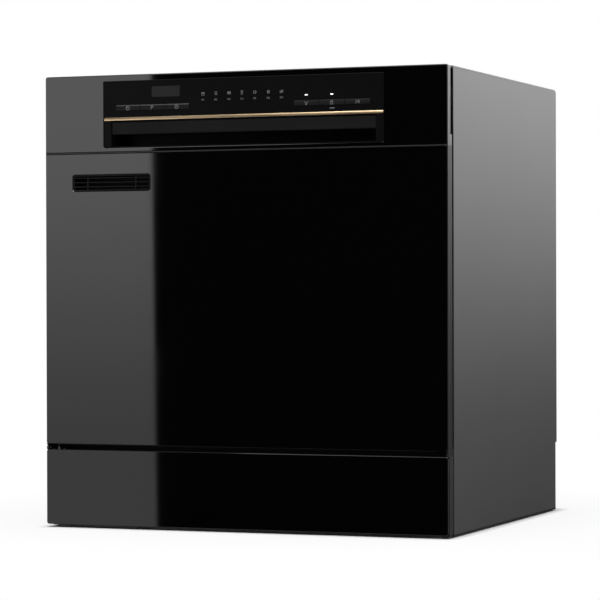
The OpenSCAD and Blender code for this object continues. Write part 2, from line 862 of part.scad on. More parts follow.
// Plastic frame that carries the panes, open behind
module door_frame() {
    deep = front_y + door_strip;
    shallow = front_y + fascia_strip;
    strip_step = seam_z + 14;
    color([0.28, 0.28, 0.29]) difference() {
        union() {
            both_sides() {
                box([half_w - rim_t, glass_back, door_bottom], [half_w, deep, strip_step]);
                box([half_w - rim_t, glass_back, strip_step - eps], [half_w, shallow, body_h]);
            }
            box([-half_w, glass_back, door_bottom], [half_w, deep, door_bottom + rim_t]);
            box([-half_w, glass_back, body_h - rim_t], [half_w, shallow, body_h]);
            box([-half_w, glass_back, door_bottom], [half_w, web_back, body_h]);
            box([-half_w, front_y + 1, seam_z - seam_gap / 2 + 0.1],
                [half_w, web_back, seam_z + seam_gap / 2 - 0.1]);
        }
        box([-window_w / 2 - 8, front_y + 2, window_bottom - 4],
            [window_w / 2 + 8, web_back + 1, window_top + 4]);
        box([vent_left - 5, front_y, vent_z - 5],
            [vent_left + vent_w + 5, web_back + 1, vent_z + vent_h + 5]);
        both_sides()
            box([pocket_in, front_y, door_bottom - 1],
                [pocket_out, deep + 1, hinge_z + ear_r + 3]);
    }
}

// Dark insert with the keys' openings, the display's opening and the finger pocket
module control_panel() {
    half = window_w / 2 - window_fit;
    pocket_half = pocket_w / 2;
    wall = 2;
    color([0.045, 0.045, 0.048]) difference() {
        union() {
            plate(-half, half, window_bottom + window_fit, window_top - window_fit,
                  panel_face, panel_back, 2);
            plate(-half - flange_w, half + flange_w, window_bottom - 3, window_top + 3,
                  glass_back, panel_back, 2);
            box([-pocket_half - wall, glass_back, window_bottom + window_fit],
                [pocket_half + wall, pocket_back + wall, pocket_roof + wall]);
            for (x = [-150, -50, 50, 150])
                bar_y(x, panel_back - eps, board_y, window_top - 9, 3);
        }
        box([-pocket_half, front_y, pocket_floor], [pocket_half, pocket_back, pocket_roof]);
        bar_x(-pocket_half - wall - 1, pocket_half + wall + 1, paddle_pivot_y, paddle_pivot_z,
              1.5 + run_fit);
        for (s = [-1, 1])
            box([s * key_bar_x - key_bar_w / 2, front_y, key_z - key_h / 2 - 0.2],
                [s * key_bar_x + key_bar_w / 2, panel_back + 1, key_z + key_h / 2 + 0.2]);
        box([display_x - display_w / 2, front_y, display_z],
            [display_x + display_w / 2, panel_back + 1, display_z + display_h]);
    }
}

module gold_strip() {
    half = window_w / 2 - 0.8;
    color([0.85, 0.72, 0.5])
        box([-half, panel_face - 0.7, strip_z], [half, panel_face, strip_z + strip_h]);
}

module display_window() {
    fit = 0.1;
    color([0.09, 0.09, 0.1])
        box([display_x - display_w / 2 + fit, panel_face - 0.2, display_z + fit],
            [display_x + display_w / 2 - fit, panel_back, display_z + display_h - fit]);
}

// Circuit board with the key switches, the display module and its larger parts
module control_board() {
    half = window_w / 2 - 12;
    color([0.1, 0.35, 0.2]) {
        box([-half, board_y, pocket_roof + 4], [half, board_y + 1.6, window_top - 6.5]);
        for (s = [-1, 1], i = [-1, 0, 1])
            box([s * key_bar_x + i * key_pitch - 3, switch_y, key_z - 3],
                [s * key_bar_x + i * key_pitch + 3, board_y + eps, key_z + 3]);
        box([display_x - display_w / 2 + 1, panel_back + 0.2, display_z + 0.5],
            [display_x + display_w / 2 - 1, board_y + eps, display_z + display_h - 0.5]);
        box([20, board_y + 1.6 - eps, key_z - 4], [60, board_y + 20, key_z + 22]);
        for (x = [-60, -35, 90])
            bar_y(x, board_y + 1.6 - eps, board_y + 16, key_z + 12, 8);
    }
}

// One push key: bevelled cap, retaining flange and stem
module push_key(x) {
    face = front_y;
    top = key_z + key_h / 2;
    low = key_z - key_h / 2;
    neck = panel_back + 0.2;
    color([0.12, 0.12, 0.125]) {
        side_cut(x - key_w / 2, x + key_w / 2)
            polygon([[face, low], [neck + eps, low], [neck + eps, top],
                     [face + 1.6, top], [face, top - 1.4]]);
        box([x - key_w / 2, neck, low - 2], [x + key_w / 2, neck + 1, top + 2]);
        bar_y(x, neck + 1 - eps, switch_y - key_travel - 0.2, key_z, 2);
    }
}

module power_key() {
    push_key(-key_bar_x - key_pitch);
}
module program_key() {
    push_key(-key_bar_x);
}
module delay_key() {
    push_key(-key_bar_x + key_pitch);
}
module dry_key() {
    push_key(key_bar_x - key_pitch);
}
module lock_key() {
    push_key(key_bar_x);
}
module start_key() {
    push_key(key_bar_x + key_pitch);
}

// Release paddle inside the top of the finger pocket, on two pivot stubs
module handle_paddle() {
    half = pocket_w / 2 - 0.6;
    face = front_y + 2.5;
    color([0.16, 0.16, 0.17]) {
        box([-half, face, paddle_top - paddle_h], [half, face + 2.6, paddle_top]);
        box([-half, face + 2.6 - eps, paddle_pivot_z - 2.5], [half, paddle_pivot_y + 2.5, paddle_top]);
        both_sides() bar_x(half - eps, half + 2.2, paddle_pivot_y, paddle_pivot_z, 1.5);
    }
}

// Inner steel pan of the door, with a shallow dished middle and the latch ears
module door_liner() {
    dish = 3;
    dish_half = pan_half - 55;
    dish_z0 = pan_bottom + 48;
    dish_z1 = seam_z - 55;
    color([0.74, 0.75, 0.76]) {
        difference() {
            union() {
                difference() {
                    box([-pan_half, web_back, pan_bottom], [pan_half, liner_y, pan_top]);
                    box([-pan_half + pan_t, web_back - 1, pan_bottom + pan_t],
                        [pan_half - pan_t, liner_y - pan_t, pan_top - pan_t]);
                }
                box([-dish_half - pan_t, liner_y - dish - pan_t, dish_z0 - pan_t],
                    [dish_half + pan_t, liner_y - pan_t + eps, dish_z1 + pan_t]);
            }
            box([-dish_half, liner_y - dish, dish_z0], [dish_half, liner_y + 1, dish_z1]);
            box([soap_x - 2, liner_y - 20, soap_z - 2],
                [soap_x + soap_w + 2, liner_y + 1, soap_z + soap_h + 2]);
        }
        both_sides() difference() {
            box([10.5, latch_y - 5, pan_top - eps], [12, latch_y + 7, pan_top + 8.6]);
            bar_x(9, 13, latch_y, latch_z, 2 + run_fit);
        }
    }
}

module latch_hook() {
    claw_y = flange_y - 16.5;
    bar_top = pan_top + 4;
    color([0.8, 0.8, 0.78]) {
        side_cut(-8, 8) {
            translate([latch_y, latch_z]) circle(3.4);
            translate([latch_y, bar_top + 2]) square([claw_y + 3 - latch_y, 2.2]);
            translate([claw_y, bar_top + 0.4]) square([3, 3.8]);
        }
        bar_x(-12, 12, latch_y, latch_z, 2);
    }
}

module door_insulation() {
    color([0.2, 0.19, 0.18]) difference() {
        box([-pan_half + 8, web_back, pan_bottom + 6], [pan_half - 8, web_back + 7, seam_z - 8]);
        box([vent_left - 6, web_back - 1, vent_z - 6],
            [vent_left + vent_w + 6, web_back + 8, vent_z + vent_h + 6]);
    }
}

// Louvred vent insert in the door pane, with the shallow air chamber behind it
module vent_grille() {
    x0 = vent_left + 0.3;
    x1 = vent_left + vent_w - 0.3;
    z0 = vent_z + 0.3;
    z1 = vent_z + vent_h - 0.3;
    border = 2;
    slats = 3;
    pitch = (z1 - z0 - 2 * border) / slats;
    rib_x = x0 + 20;
    color([0.06, 0.06, 0.065]) {
        difference() {
            union() {
                plate(x0, x1, z0, z1, front_y + 0.4, glass_back, 3.7);
                box([x0 - 4, glass_back, z0 - 4], [x1 + 4, web_back + 22, z1 + 4]);
            }
            box([x0 + border, front_y, z0 + border], [x1 - border, web_back + 20.5, z1 - border]);
        }
        for (i = [1 : slats - 1])
            side_cut(x0 + border - eps, x1 - border + eps)
                polygon([[front_y + 1.2, z0 + border + i * pitch - 1.4],
                         [front_y + 7, z0 + border + i * pitch + 0.6],
                         [front_y + 7, z0 + border + i * pitch + 2],
                         [front_y + 1.2, z0 + border + i * pitch]]);
        box([rib_x, front_y + 1, z0 + border - eps], [rib_x + 2, front_y + 8, z1 - border + eps]);
    }
}

// Detergent cup, rinse-aid tank and the lid's two guides, in one moulding
module dispenser_body() {
    color([0.42, 0.43, 0.45]) difference() {
        union() {
            box([soap_x, soap_face - 20, soap_z], [soap_x + soap_w, soap_face, soap_z + soap_h]);
            plate(soap_x - 5, soap_x + soap_w + 5, soap_z - 5, soap_z + soap_h + 5,
                  soap_face, soap_face + 2, 6);
            for (s = [0, 1])
                lid_guide(soap_x + 4 + s * (cup_w + 16), s);
        }
        box([soap_x + 12, soap_face - 18, soap_z + 8],
            [soap_x + 12 + cup_w, soap_face + 3, soap_z + 8 + cup_h]);
        bar_y(rinse_x, soap_face - 12, soap_face + 3, rinse_z, 16);
    }
}

// Guide rail with a lip over the lid's edge; side 0 is the left one
module lid_guide(x, side) {
    reach = 1.6;
    lid_top = lid_face + lid_t + soft_gap;
    box([x - 2, soap_face + 1, soap_z + 2], [x + 2, lid_top + 1, soap_z + soap_h - 2]);
    box([side == 0 ? x - 2 : x - 2 - reach, lid_top, soap_z + 2],
        [side == 0 ? x + 2 + reach : x + 2, lid_top + 1, soap_z + soap_h - 2]);
}

module dispenser_lid() {
    x0 = soap_x + 6 + soft_gap;
    x1 = soap_x + 18 + cup_w - soft_gap;
    z1 = soap_z + 13 + cup_h;
    color([0.5, 0.51, 0.53]) {
        box([x0, lid_face, soap_z + 3], [x1, lid_face + lid_t, z1]);
        box([x0 + 12, lid_face + lid_t - eps, z1 - 16], [x1 - 12, lid_face + lid_t + 2.5, z1 - 12]);
    }
}

// Quarter-turn cap of the rinse-aid tank
module rinse_cap() {
    seat = soap_face + 2 + soft_gap;
    color([0.3, 0.45, 0.62]) {
        bar_y(rinse_x, seat, seat + 4, rinse_z, 19);
        bar_y(rinse_x, seat - 10, seat + eps, rinse_z, 15.6);
        box([rinse_x - 14, seat + 4 - eps, rinse_z - 2], [rinse_x + 14, seat + 7, rinse_z + 2]);
    }
}

// ---------------------------------------------------------------- racks and rollers

// Pair of plastic wheels or rollers, left and right on one axis line
module wheel_pair(x, w, y, z, r, bore) {
    both_sides() difference() {
        bar_x(x, x + w, y, z, r);
        bar_x(x - 1, x + w + 1, y, z, bore + run_fit);
    }
}

module front_rollers() {
    color([0.5, 0.52, 0.54])
        wheel_pair(roller_x, roller_w, roller_front_y, rail_z, roller_r, axle_r);
}

module rear_rollers() {
    color([0.5, 0.52, 0.54])
        wheel_pair(roller_x, roller_w, roller_front_y + roller_gap, rail_z, roller_r, axle_r);
}

module lower_front_wheels() {
    color([0.5, 0.52, 0.54])
        wheel_pair(wheel_in, wheel_w, -wheel_y, wheel_z, rack_wheel_r, axle_r);
}

module lower_rear_wheels() {
    color([0.5, 0.52, 0.54])
        wheel_pair(wheel_in, wheel_w, wheel_y, wheel_z, rack_wheel_r, axle_r);
}

// Even positions from a first to a last one
function spread(a, b, n) = [for (i = [0 : n - 1]) a + (b - a) * i / (n - 1)];

// Wire rack for plates and pots, with its front edge sloped over the open door.
// Each flat wire panel and each row of plate tines is a solid of its own.
module lower_rack() {
    foot_y = rack_front + slope;
    knee_z = lower_base + slope;
    low_z = lower_base + wire_r + panel_gap;
    ring_z = knee_z + 30;
    across = spread(-rack_half, rack_half, 12);
    along = spread(foot_y, rack_rear, 7);
    color([0.62, 0.63, 0.65]) {
        for (x = across) wire([x, foot_y, lower_base], [x, rack_rear, lower_base], wire_r);
        for (y = along)
            wire([-rack_half, y, lower_base], [rack_half, y, lower_base], wire_r);
        rack_axles();
        rack_slope(across, foot_y, knee_z);
        rack_end(rack_half, rack_front, across, knee_z + wire_r + panel_gap, ring_z, lower_rim);
        rack_end(rack_half, rack_rear, across, low_z, ring_z, lower_rim);
        both_sides() {
            rack_side(rack_half, [for (i = [1 : 5]) along[i]], low_z, ring_z, lower_rim);
            wire([rack_half, foot_y, low_z + 2 * wire_r], [rack_half, foot_y, lower_rim], wire_r);
        }
        for (x = [-150, -60]) tine_row(x, foot_y);
    }
}

// Front or rear wire panel: uprights, a middle wire and the rim
module rack_end(half, y, across, z0, ring_z, rim_z) {
    for (x = across) wire([x, y, z0], [x, y, rim_z], wire_r);
    wire([-half, y, ring_z], [half, y, ring_z], wire_r);
    wire([-half, y, rim_z], [half, y, rim_z], rim_r);
}

// Side wire panel, between the front and the rear one
module rack_side(x, along, z0, ring_z, rim_z) {
    y0 = rack_front + rim_r + panel_gap;
    y1 = rack_rear - rim_r - panel_gap;
    for (y = along) wire([x, y, z0], [x, y, rim_z], wire_r);
    wire([x, y0, ring_z], [x, y1, ring_z], wire_r);
    wire([x, y0, rim_z], [x, y1, rim_z], rim_r);
}

// Sloped wires from the front panel down to the base
module rack_slope(across, foot_y, knee_z) {
    short = (wire_r + panel_gap) / sqrt(2);
    mid_y = (rack_front + foot_y) / 2;
    mid_z = (knee_z + lower_base) / 2;
    for (x = across)
        wire([x, rack_front, knee_z], [x, foot_y - short, lower_base + short], wire_r);
    wire([-rack_half, mid_y, mid_z], [rack_half, mid_y, mid_z], wire_r);
}

// Row of plate tines on a wire laid over the base
module tine_row(x, foot_y) {
    foot_z = lower_base + 2 * wire_r + panel_gap;
    end = 2 * wire_r + panel_gap;
    wire([x, foot_y + end, foot_z], [x, rack_rear - end, foot_z], wire_r);
    for (y = spread(foot_y + 18, rack_rear - 18, 9))
        wire([x, y, foot_z], [x, y, lower_base + 58], wire_r);
}

// Stub axles of the four wheels
module rack_axles() {
    both_sides()
        for (y = [-wheel_y, wheel_y]) {
            bar_x(rack_half - 1, wheel_in + wheel_w + 0.4, y, wheel_z, axle_r);
            bar_x(wheel_in + wheel_w + 0.4, wheel_in + wheel_w + 2, y, wheel_z, axle_r + 1.8);
            bar_x(rack_half - 1, wheel_in - 0.4, y, wheel_z, axle_r + 2);
        }
}

// Basket for cutlery, standing in the front right of the lower rack
module cutlery_basket() {
    y0 = rack_front + slope + 2;
    z0 = lower_base + wire_r + soft_gap;
    cell_w = (basket_w - 4 * basket_t) / 3;
    cell_d = (basket_d - 3 * basket_t) / 2;
    color([0.55, 0.56, 0.58]) {
        difference() {
            box([basket_x, y0, z0], [basket_x + basket_w, y0 + basket_d, z0 + basket_h]);
            for (i = [0 : 2], j = [0 : 1])
                translate([basket_x + basket_t + i * (cell_w + basket_t),
                           y0 + basket_t + j * (cell_d + basket_t), z0 + basket_t])
                    cube([cell_w, cell_d, basket_h]);
        }
        basket_handle(y0 + basket_d / 2, z0 + basket_h);
    }
}

module basket_handle(y, z) {
    grip_x = basket_x + basket_w / 2;
    for (s = [-1, 1])
        box([grip_x + s * 30 - 4, y - 1, z - 20], [grip_x + s * 30 + 4, y + 1, z + 22]);
    box([grip_x - 34, y - 5, z + 22 - eps], [grip_x + 34, y + 5, z + 28]);
}

// Wire rack for cups and glasses, in flat panels, with the water feed under its base
module upper_rack() {
    low_z = upper_base + wire_r + panel_gap;
    ring_z = upper_base + 38;
    across = spread(-upper_half, upper_half, 12);
    along = spread(rack_front, rack_rear, 7);
    color([0.62, 0.63, 0.65]) {
        for (x = across) wire([x, rack_front, upper_base], [x, rack_rear, upper_base], wire_r);
        for (y = along)
            wire([-upper_half, y, upper_base], [upper_half, y, upper_base], wire_r);
        for (y = [rack_front, rack_rear])
            rack_end(upper_half, y, across, low_z, ring_z, upper_rim);
        both_sides() {
            rack_side(upper_half, [for (i = [1 : 5]) along[i]], low_z, ring_z, upper_rim);
            for (y = [rack_front + 40, 0, rack_rear - 40])
                box([upper_half - 1, y - 8, rail_z - 6], [rail_x, y + 8, rail_z + 6]);
        }
        rack_feed();
    }
}

// Feed pipe under the upper rack, with the boss and spindle of its spray arm
module rack_feed() {
    boss_r = 15;
    feed_top = upper_base - wire_r - panel_gap;
    bar_y(0, 0, rack_rear + 4, feed_z, feed_r);
    box([-22, -7, feed_top - 3], [22, 7, feed_top]);
    box([-22, rack_rear - 3, feed_z], [22, rack_rear + 3, feed_top]);
    bar_z(0, 0, upper_arm_z + arm_t_z + 0.4, feed_top, boss_r);
    bar_z(0, 0, upper_arm_z - 0.4, upper_arm_z + arm_t_z + 0.4 + eps, spindle_r);
    bar_z(0, 0, upper_arm_z - 3, upper_arm_z - 0.4 + eps, spindle_r + 4);
}

// Channel on each side of the upper rack that rides on the tub's rollers
module upper_rails() {
    lip = 1.2;
    color([0.68, 0.68, 0.7]) both_sides() difference() {
        box([rail_x, rack_front, rail_z - rail_h / 2],
            [rail_x + rail_w, rack_rear, rail_z + rail_h / 2]);
        box([rail_x + lip, rack_front - 1, rail_z - rail_h / 2 + lip],
            [rail_x + rail_w + 1, rack_rear + 1, rail_z + rail_h / 2 - lip]);
    }
}

module upper_spray_arm() {
    color([0.33, 0.34, 0.36]) spray_arm(upper_arm_z);
}

base_tray();
rubber_feet();
side_panel_left();
side_panel_right();
top_panel();
back_panel();
front_frame();
kick_frame();
kick_glass();
cabinet_screws();
tub();
tub_gasket();
insulation_wrap();
sump();
fine_filter();
rear_duct();
water_softener();
wash_pump();
drain_pump();
inlet_valve();
air_break();
mains_gland();
hinge_brackets();
door_springs();
door_striker();
filter_cup();
salt_cap();
lower_spray_arm();
front_rollers();
rear_rollers();
wash_impeller();
door_glass();
fascia_glass();
door_frame();
control_panel();
gold_strip();
display_window();
control_board();
door_liner();
door_insulation();
hinge_arms();
vent_grille();
dispenser_body();
handle_paddle();
latch_hook();
power_key();
program_key();
delay_key();
dry_key();
lock_key();
start_key();
dispenser_lid();
rinse_cap();
lower_rack();
lower_front_wheels();
lower_rear_wheels();
cutlery_basket();
upper_rack();
upper_rails();
upper_spray_arm();
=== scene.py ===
"""Looks of a countertop dishwasher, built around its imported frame."""
import math

import bmesh
import bpy
from bpy.props import FloatProperty, FloatVectorProperty, IntProperty, PointerProperty
from bpy.types import Operator, Panel, PropertyGroup
from mathutils import Matrix, Vector


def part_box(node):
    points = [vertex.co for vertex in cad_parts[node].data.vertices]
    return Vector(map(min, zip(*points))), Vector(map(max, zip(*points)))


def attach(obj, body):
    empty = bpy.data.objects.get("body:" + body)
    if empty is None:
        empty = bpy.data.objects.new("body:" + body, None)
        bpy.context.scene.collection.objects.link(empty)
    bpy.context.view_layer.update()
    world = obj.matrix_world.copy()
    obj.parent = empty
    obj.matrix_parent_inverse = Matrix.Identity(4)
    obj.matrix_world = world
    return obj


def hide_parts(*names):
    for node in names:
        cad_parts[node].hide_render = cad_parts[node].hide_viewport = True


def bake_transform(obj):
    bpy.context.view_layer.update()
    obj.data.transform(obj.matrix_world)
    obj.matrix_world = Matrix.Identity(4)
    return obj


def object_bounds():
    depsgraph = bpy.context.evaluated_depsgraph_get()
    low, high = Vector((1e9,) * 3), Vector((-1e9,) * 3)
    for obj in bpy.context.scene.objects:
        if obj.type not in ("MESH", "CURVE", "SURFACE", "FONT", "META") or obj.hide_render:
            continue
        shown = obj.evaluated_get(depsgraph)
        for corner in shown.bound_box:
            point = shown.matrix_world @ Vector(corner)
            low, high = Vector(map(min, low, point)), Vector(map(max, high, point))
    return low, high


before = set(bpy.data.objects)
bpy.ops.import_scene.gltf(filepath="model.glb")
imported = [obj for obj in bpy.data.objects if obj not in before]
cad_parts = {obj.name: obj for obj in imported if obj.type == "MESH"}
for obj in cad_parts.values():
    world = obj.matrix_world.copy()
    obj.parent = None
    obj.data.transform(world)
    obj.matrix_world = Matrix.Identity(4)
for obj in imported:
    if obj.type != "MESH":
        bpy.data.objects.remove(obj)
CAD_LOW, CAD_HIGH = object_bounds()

bl_info = {
    "name": "Countertop dishwasher",
    "version": (1, 0, 0),
    "blender": (4, 5, 0),
    "location": "3D View > Sidebar > Dishwasher",
    "description": "Builds the looks of a countertop dishwasher around its packed frame",
    "category": "Object",
}

MM = 0.001


# ---------------------------------------------------------------- settings

def colour(name, description, default):
    """A linear colour that the user can change."""
    return FloatVectorProperty(
        name=name, description=description, default=default,
        subtype="COLOR", size=3, min=0.0, max=1.0)


def length(name, description, default):
    """A length in metres that the user can change."""
    return FloatProperty(
        name=name, description=description, default=default, min=0.0, unit="LENGTH", precision=5)


class DishwasherColours(PropertyGroup):
    """Colours of the finishes, as linear values."""
    glass: colour("Black glass", "Painted back of the front panes", (0.0010, 0.0010, 0.0011))
    trim: colour("Side strips", "Silver-grey moulding beside the panes", (0.100, 0.100, 0.102))
    strip: colour("Door strips", "Darker moulding beside the door pane", (0.029, 0.029, 0.030))
    # Also the colour of the painted shade on the front frame, seen in the slot under the door
    kick: colour("Kick strips", "Darkest moulding, round the kick pane", (0.034, 0.034, 0.035))
    paint: colour("Cabinet paint", "Dark grey metallic side sheets", (0.105, 0.105, 0.107))
    top: colour("Top paint", "Darker paint of the top sheet", (0.060, 0.060, 0.062))
    black: colour("Black plastic", "Base tray, vent and small mouldings", (0.012, 0.012, 0.0125))
    insert: colour("Control insert", "Smoked plastic round the keys", (0.0040, 0.0040, 0.0044))
    key: colour("Keys", "Push keys", (0.0095, 0.0095, 0.0100))
    # Painted highlight: a lighter colour on the keys' top bevels stands in for their reflection of
    # the light above
    key_bevel_highlight: colour("Key edges", "Bevel along the keys' tops", (0.055, 0.055, 0.057))
    display: colour("Display lens", "Smoked window over the digits", (0.017, 0.017, 0.018))
    print_white: colour("Printed symbols", "Pale print on the keys and the insert",
                        (0.20, 0.20, 0.20))
    gold: colour("Gold strip", "Champagne-coloured metal strip", (0.74, 0.55, 0.34))
    steel: colour("Stainless steel", "Tub and inner door", (0.60, 0.61, 0.62))
    zinc: colour("Zinc-plated sheet", "Back panel, brackets and rails", (0.52, 0.53, 0.54))
    wire: colour("Rack coating", "Grey nylon on the rack wires", (0.26, 0.27, 0.29))
    grey: colour("Mid grey plastic", "Spray arms, dispenser and basket", (0.13, 0.135, 0.145))
    pale: colour("Pale grey plastic", "Wheels, dispenser lid and tanks", (0.48, 0.49, 0.50))
    white: colour("White nylon", "Valve, impeller and latch hook", (0.72, 0.72, 0.70))
    blue: colour("Blue plastic", "Rinse-aid cap", (0.035, 0.10, 0.26))
    rubber: colour("Rubber", "Feet and door seal", (0.016, 0.016, 0.017))
    board: colour("Circuit board", "Green laminate", (0.012, 0.075, 0.030))


class DishwasherSizes(PropertyGroup):
    """Sizes of the detail that the frame leaves to the looks."""
    glass_chamfer: length("Glass chamfer", "Polished edge of the panes", 0.0006)
    wire_radius: length("Rack wire radius", "Coated wires of both racks", 0.0018)
    rim_radius: length("Rack rim radius", "Coated rims of both racks", 0.0025)
    bend_radius: length("Rack bend radius", "Inside of the bends in the wires", 0.010)
    line: length("Symbol line", "Width of the printed symbols' lines", 0.00055)
    spring_wire: length("Spring wire radius", "Wire of the balance springs", 0.0007)
    spring_turns: IntProperty(
        name="Spring turns", description="Turns in each balance spring", default=26, min=4, max=60)


class DishwasherStage(PropertyGroup):
    """Camera and lights."""
    camera_place: FloatVectorProperty(
        name="Camera place", description="Where the camera stands", subtype="TRANSLATION",
        unit="LENGTH", size=3, default=(1.3286, -3.4677, 0.306))
    camera_yaw: FloatProperty(
        name="Camera yaw", description="Turn to the left of straight ahead", subtype="ANGLE",
        default=math.radians(21.213))
    camera_pitch: FloatProperty(
        name="Camera pitch", description="Tilt upwards", subtype="ANGLE",
        default=math.radians(-0.187))
    camera_roll: FloatProperty(
        name="Camera roll", description="Roll about the view line", subtype="ANGLE",
        default=math.radians(-0.160))
    camera_lens: FloatProperty(
        name="Camera lens", description="Focal length on a 36 mm sensor", default=165.04,
        min=20.0, unit="CAMERA")
    ambient: FloatProperty(
        name="Ambient light", description="Level of the surrounding light", default=0.42, min=0.0)
    key_power: FloatProperty(
        name="Key light", description="Power of the light over the front", default=16.0,
        min=0.0, unit="POWER")
    side_power: FloatProperty(
        name="Side light", description="Power of the light on the right", default=4.0,
        min=0.0, unit="POWER")
    top_power: FloatProperty(
        name="Top light", description="Power of the overhead light", default=14.0,
        min=0.0, unit="POWER")


def colours():
    """The scene's colour settings."""
    return bpy.context.scene.dishwasher_colours


def sizes():
    """The scene's size settings."""
    return bpy.context.scene.dishwasher_sizes


# ---------------------------------------------------------------- shader helpers

class Graph:
    """Adds and joins nodes in one shader tree."""

    def __init__(self, tree):
        self.tree = tree

    def feed(self, socket, value):
        """Links an output to an input, or sets the input to a plain value."""
        if isinstance(value, bpy.types.NodeSocket):
            self.tree.links.new(value, socket)
        else:
            socket.default_value = value

    def add(self, kind, inputs=None, **settings):
        """A node of a kind, with settings as its properties and inputs by name or number."""
        node = self.tree.nodes.new("ShaderNode" + kind)
        for name, value in settings.items():
            setattr(node, name, value)
        for key, value in (inputs or {}).items():
            self.feed(node.inputs[key], value)
        return node

    def math(self, operation, a, b=0.0):
        """The result of an operation on two values."""
        return self.add("Math", {0: a, 1: b}, operation=operation).outputs[0]

    def noise(self, scale, vector, detail=3.0, roughness=0.5):
        """A smooth random value that varies in space, mostly between 0.3 and 0.7."""
        inputs = {"Vector": vector, "Scale": scale, "Detail": detail, "Roughness": roughness}
        return self.add("TexNoise", inputs).outputs["Fac"]

    def spread(self, value, low, high):
        """The middle of a noise value stretched to a range."""
        inputs = {"Value": value, "From Min": 0.3, "From Max": 0.7, "To Min": low, "To Max": high}
        return self.add("MapRange", inputs).outputs["Result"]

    def shade(self, tint, factor):
        """A colour made lighter or darker by a value around one."""
        node = self.add("VectorMath", {0: tint}, operation="SCALE")
        self.feed(node.inputs["Scale"], factor)
        return node.outputs["Vector"]


def start_group(name, inputs, outputs):
    """An empty node group with named sockets, as (graph, input sockets, output node)."""
    tree = bpy.data.node_groups.new(name, "ShaderNodeTree")
    for socket, (kind, default) in inputs.items():
        made = tree.interface.new_socket(socket, in_out="INPUT", socket_type="NodeSocket" + kind)
        made.default_value = default
    for socket, kind in outputs.items():
        tree.interface.new_socket(socket, in_out="OUTPUT", socket_type="NodeSocket" + kind)
    graph = Graph(tree)
    entry = tree.nodes.new("NodeGroupInput")
    leave = tree.nodes.new("NodeGroupOutput")
    return graph, entry.outputs, leave.inputs


SURFACE = {"Color": "Color", "Roughness": "Float", "Normal": "Vector"}
GREY = (0.5, 0.5, 0.5, 1.0)


def moulded_grain():
    """Plastic and rubber: a fine moulded grain over slightly uneven colour."""
    graph, given, result = start_group("Moulded grain", {
        "Color": ("Color", GREY), "Roughness": ("Float", 0.5), "Grain Size": ("Float", 1500.0),
        "Grain Depth": ("Float", 0.00002), "Mottle": ("Float", 0.08)}, SURFACE)
    place = graph.add("TexCoord").outputs["Object"]
    grain = graph.noise(given["Grain Size"], place, 2.0)
    cloud = graph.noise(18.0, place, 4.0)
    low = graph.math("SUBTRACT", 1.0, given["Mottle"])
    high = graph.math("ADD", 1.0, given["Mottle"])
    graph.feed(result["Color"], graph.shade(given["Color"], graph.spread(cloud, low, high)))
    rough = graph.math("MULTIPLY", given["Roughness"], graph.spread(grain, 0.88, 1.12))
    graph.feed(result["Roughness"], rough)
    bump = graph.add("Bump", {"Height": grain, "Distance": given["Grain Depth"]})
    graph.feed(result["Normal"], bump.outputs["Normal"])
    return graph.tree


def drawn_sheet():
    """Bare sheet metal: long fine rolling lines and faint clouds."""
    graph, given, result = start_group("Drawn sheet", {
        "Color": ("Color", GREY), "Roughness": ("Float", 0.3),
        "Line Scale": ("Vector", (900.0, 900.0, 6.0)), "Line Depth": ("Float", 0.00001),
        "Cloud": ("Float", 0.08)}, SURFACE)
    place = graph.add("TexCoord").outputs["Object"]
    stretched = graph.add("VectorMath", {0: place, 1: given["Line Scale"]}, operation="MULTIPLY")
    lines = graph.noise(1.0, stretched.outputs["Vector"], 4.0, 0.65)
    cloud = graph.noise(9.0, place, 3.0)
    low = graph.math("SUBTRACT", 1.0, given["Cloud"])
    high = graph.math("ADD", 1.0, given["Cloud"])
    tone = graph.math("MULTIPLY", graph.spread(cloud, low, high), graph.spread(lines, 0.94, 1.06))
    graph.feed(result["Color"], graph.shade(given["Color"], tone))
    rough = graph.math("MULTIPLY", given["Roughness"], graph.spread(lines, 0.8, 1.25))
    graph.feed(result["Roughness"], rough)
    bump = graph.add("Bump", {"Height": lines, "Distance": given["Line Depth"]})
    graph.feed(result["Normal"], bump.outputs["Normal"])
    return graph.tree


def sprayed_flake():
    """Metallic paint: fine flakes and a faint orange peel."""
    graph, given, result = start_group("Sprayed flake", {
        "Color": ("Color", GREY), "Roughness": ("Float", 0.35), "Flake": ("Float", 0.12),
        "Peel Depth": ("Float", 0.00001)}, SURFACE)
    place = graph.add("TexCoord").outputs["Object"]
    cells = graph.add("TexVoronoi", {"Vector": place, "Scale": 2600.0})
    flake = graph.add("SeparateColor", {"Color": cells.outputs["Color"]}).outputs[0]
    low = graph.math("SUBTRACT", 1.0, given["Flake"])
    high = graph.math("ADD", 1.0, given["Flake"])
    mapped = graph.add("MapRange", {"Value": flake, "To Min": low, "To Max": high})
    cloud = graph.spread(graph.noise(7.0, place, 3.0), 0.97, 1.03)
    tone = graph.math("MULTIPLY", mapped.outputs["Result"], cloud)
    graph.feed(result["Color"], graph.shade(given["Color"], tone))
    rough = graph.math("MULTIPLY", given["Roughness"], graph.spread(flake, 0.95, 1.05))
    graph.feed(result["Roughness"], rough)
    peel = graph.noise(420.0, place, 2.0)
    bump = graph.add("Bump", {"Height": peel, "Distance": given["Peel Depth"]})
    graph.feed(result["Normal"], bump.outputs["Normal"])
    return graph.tree


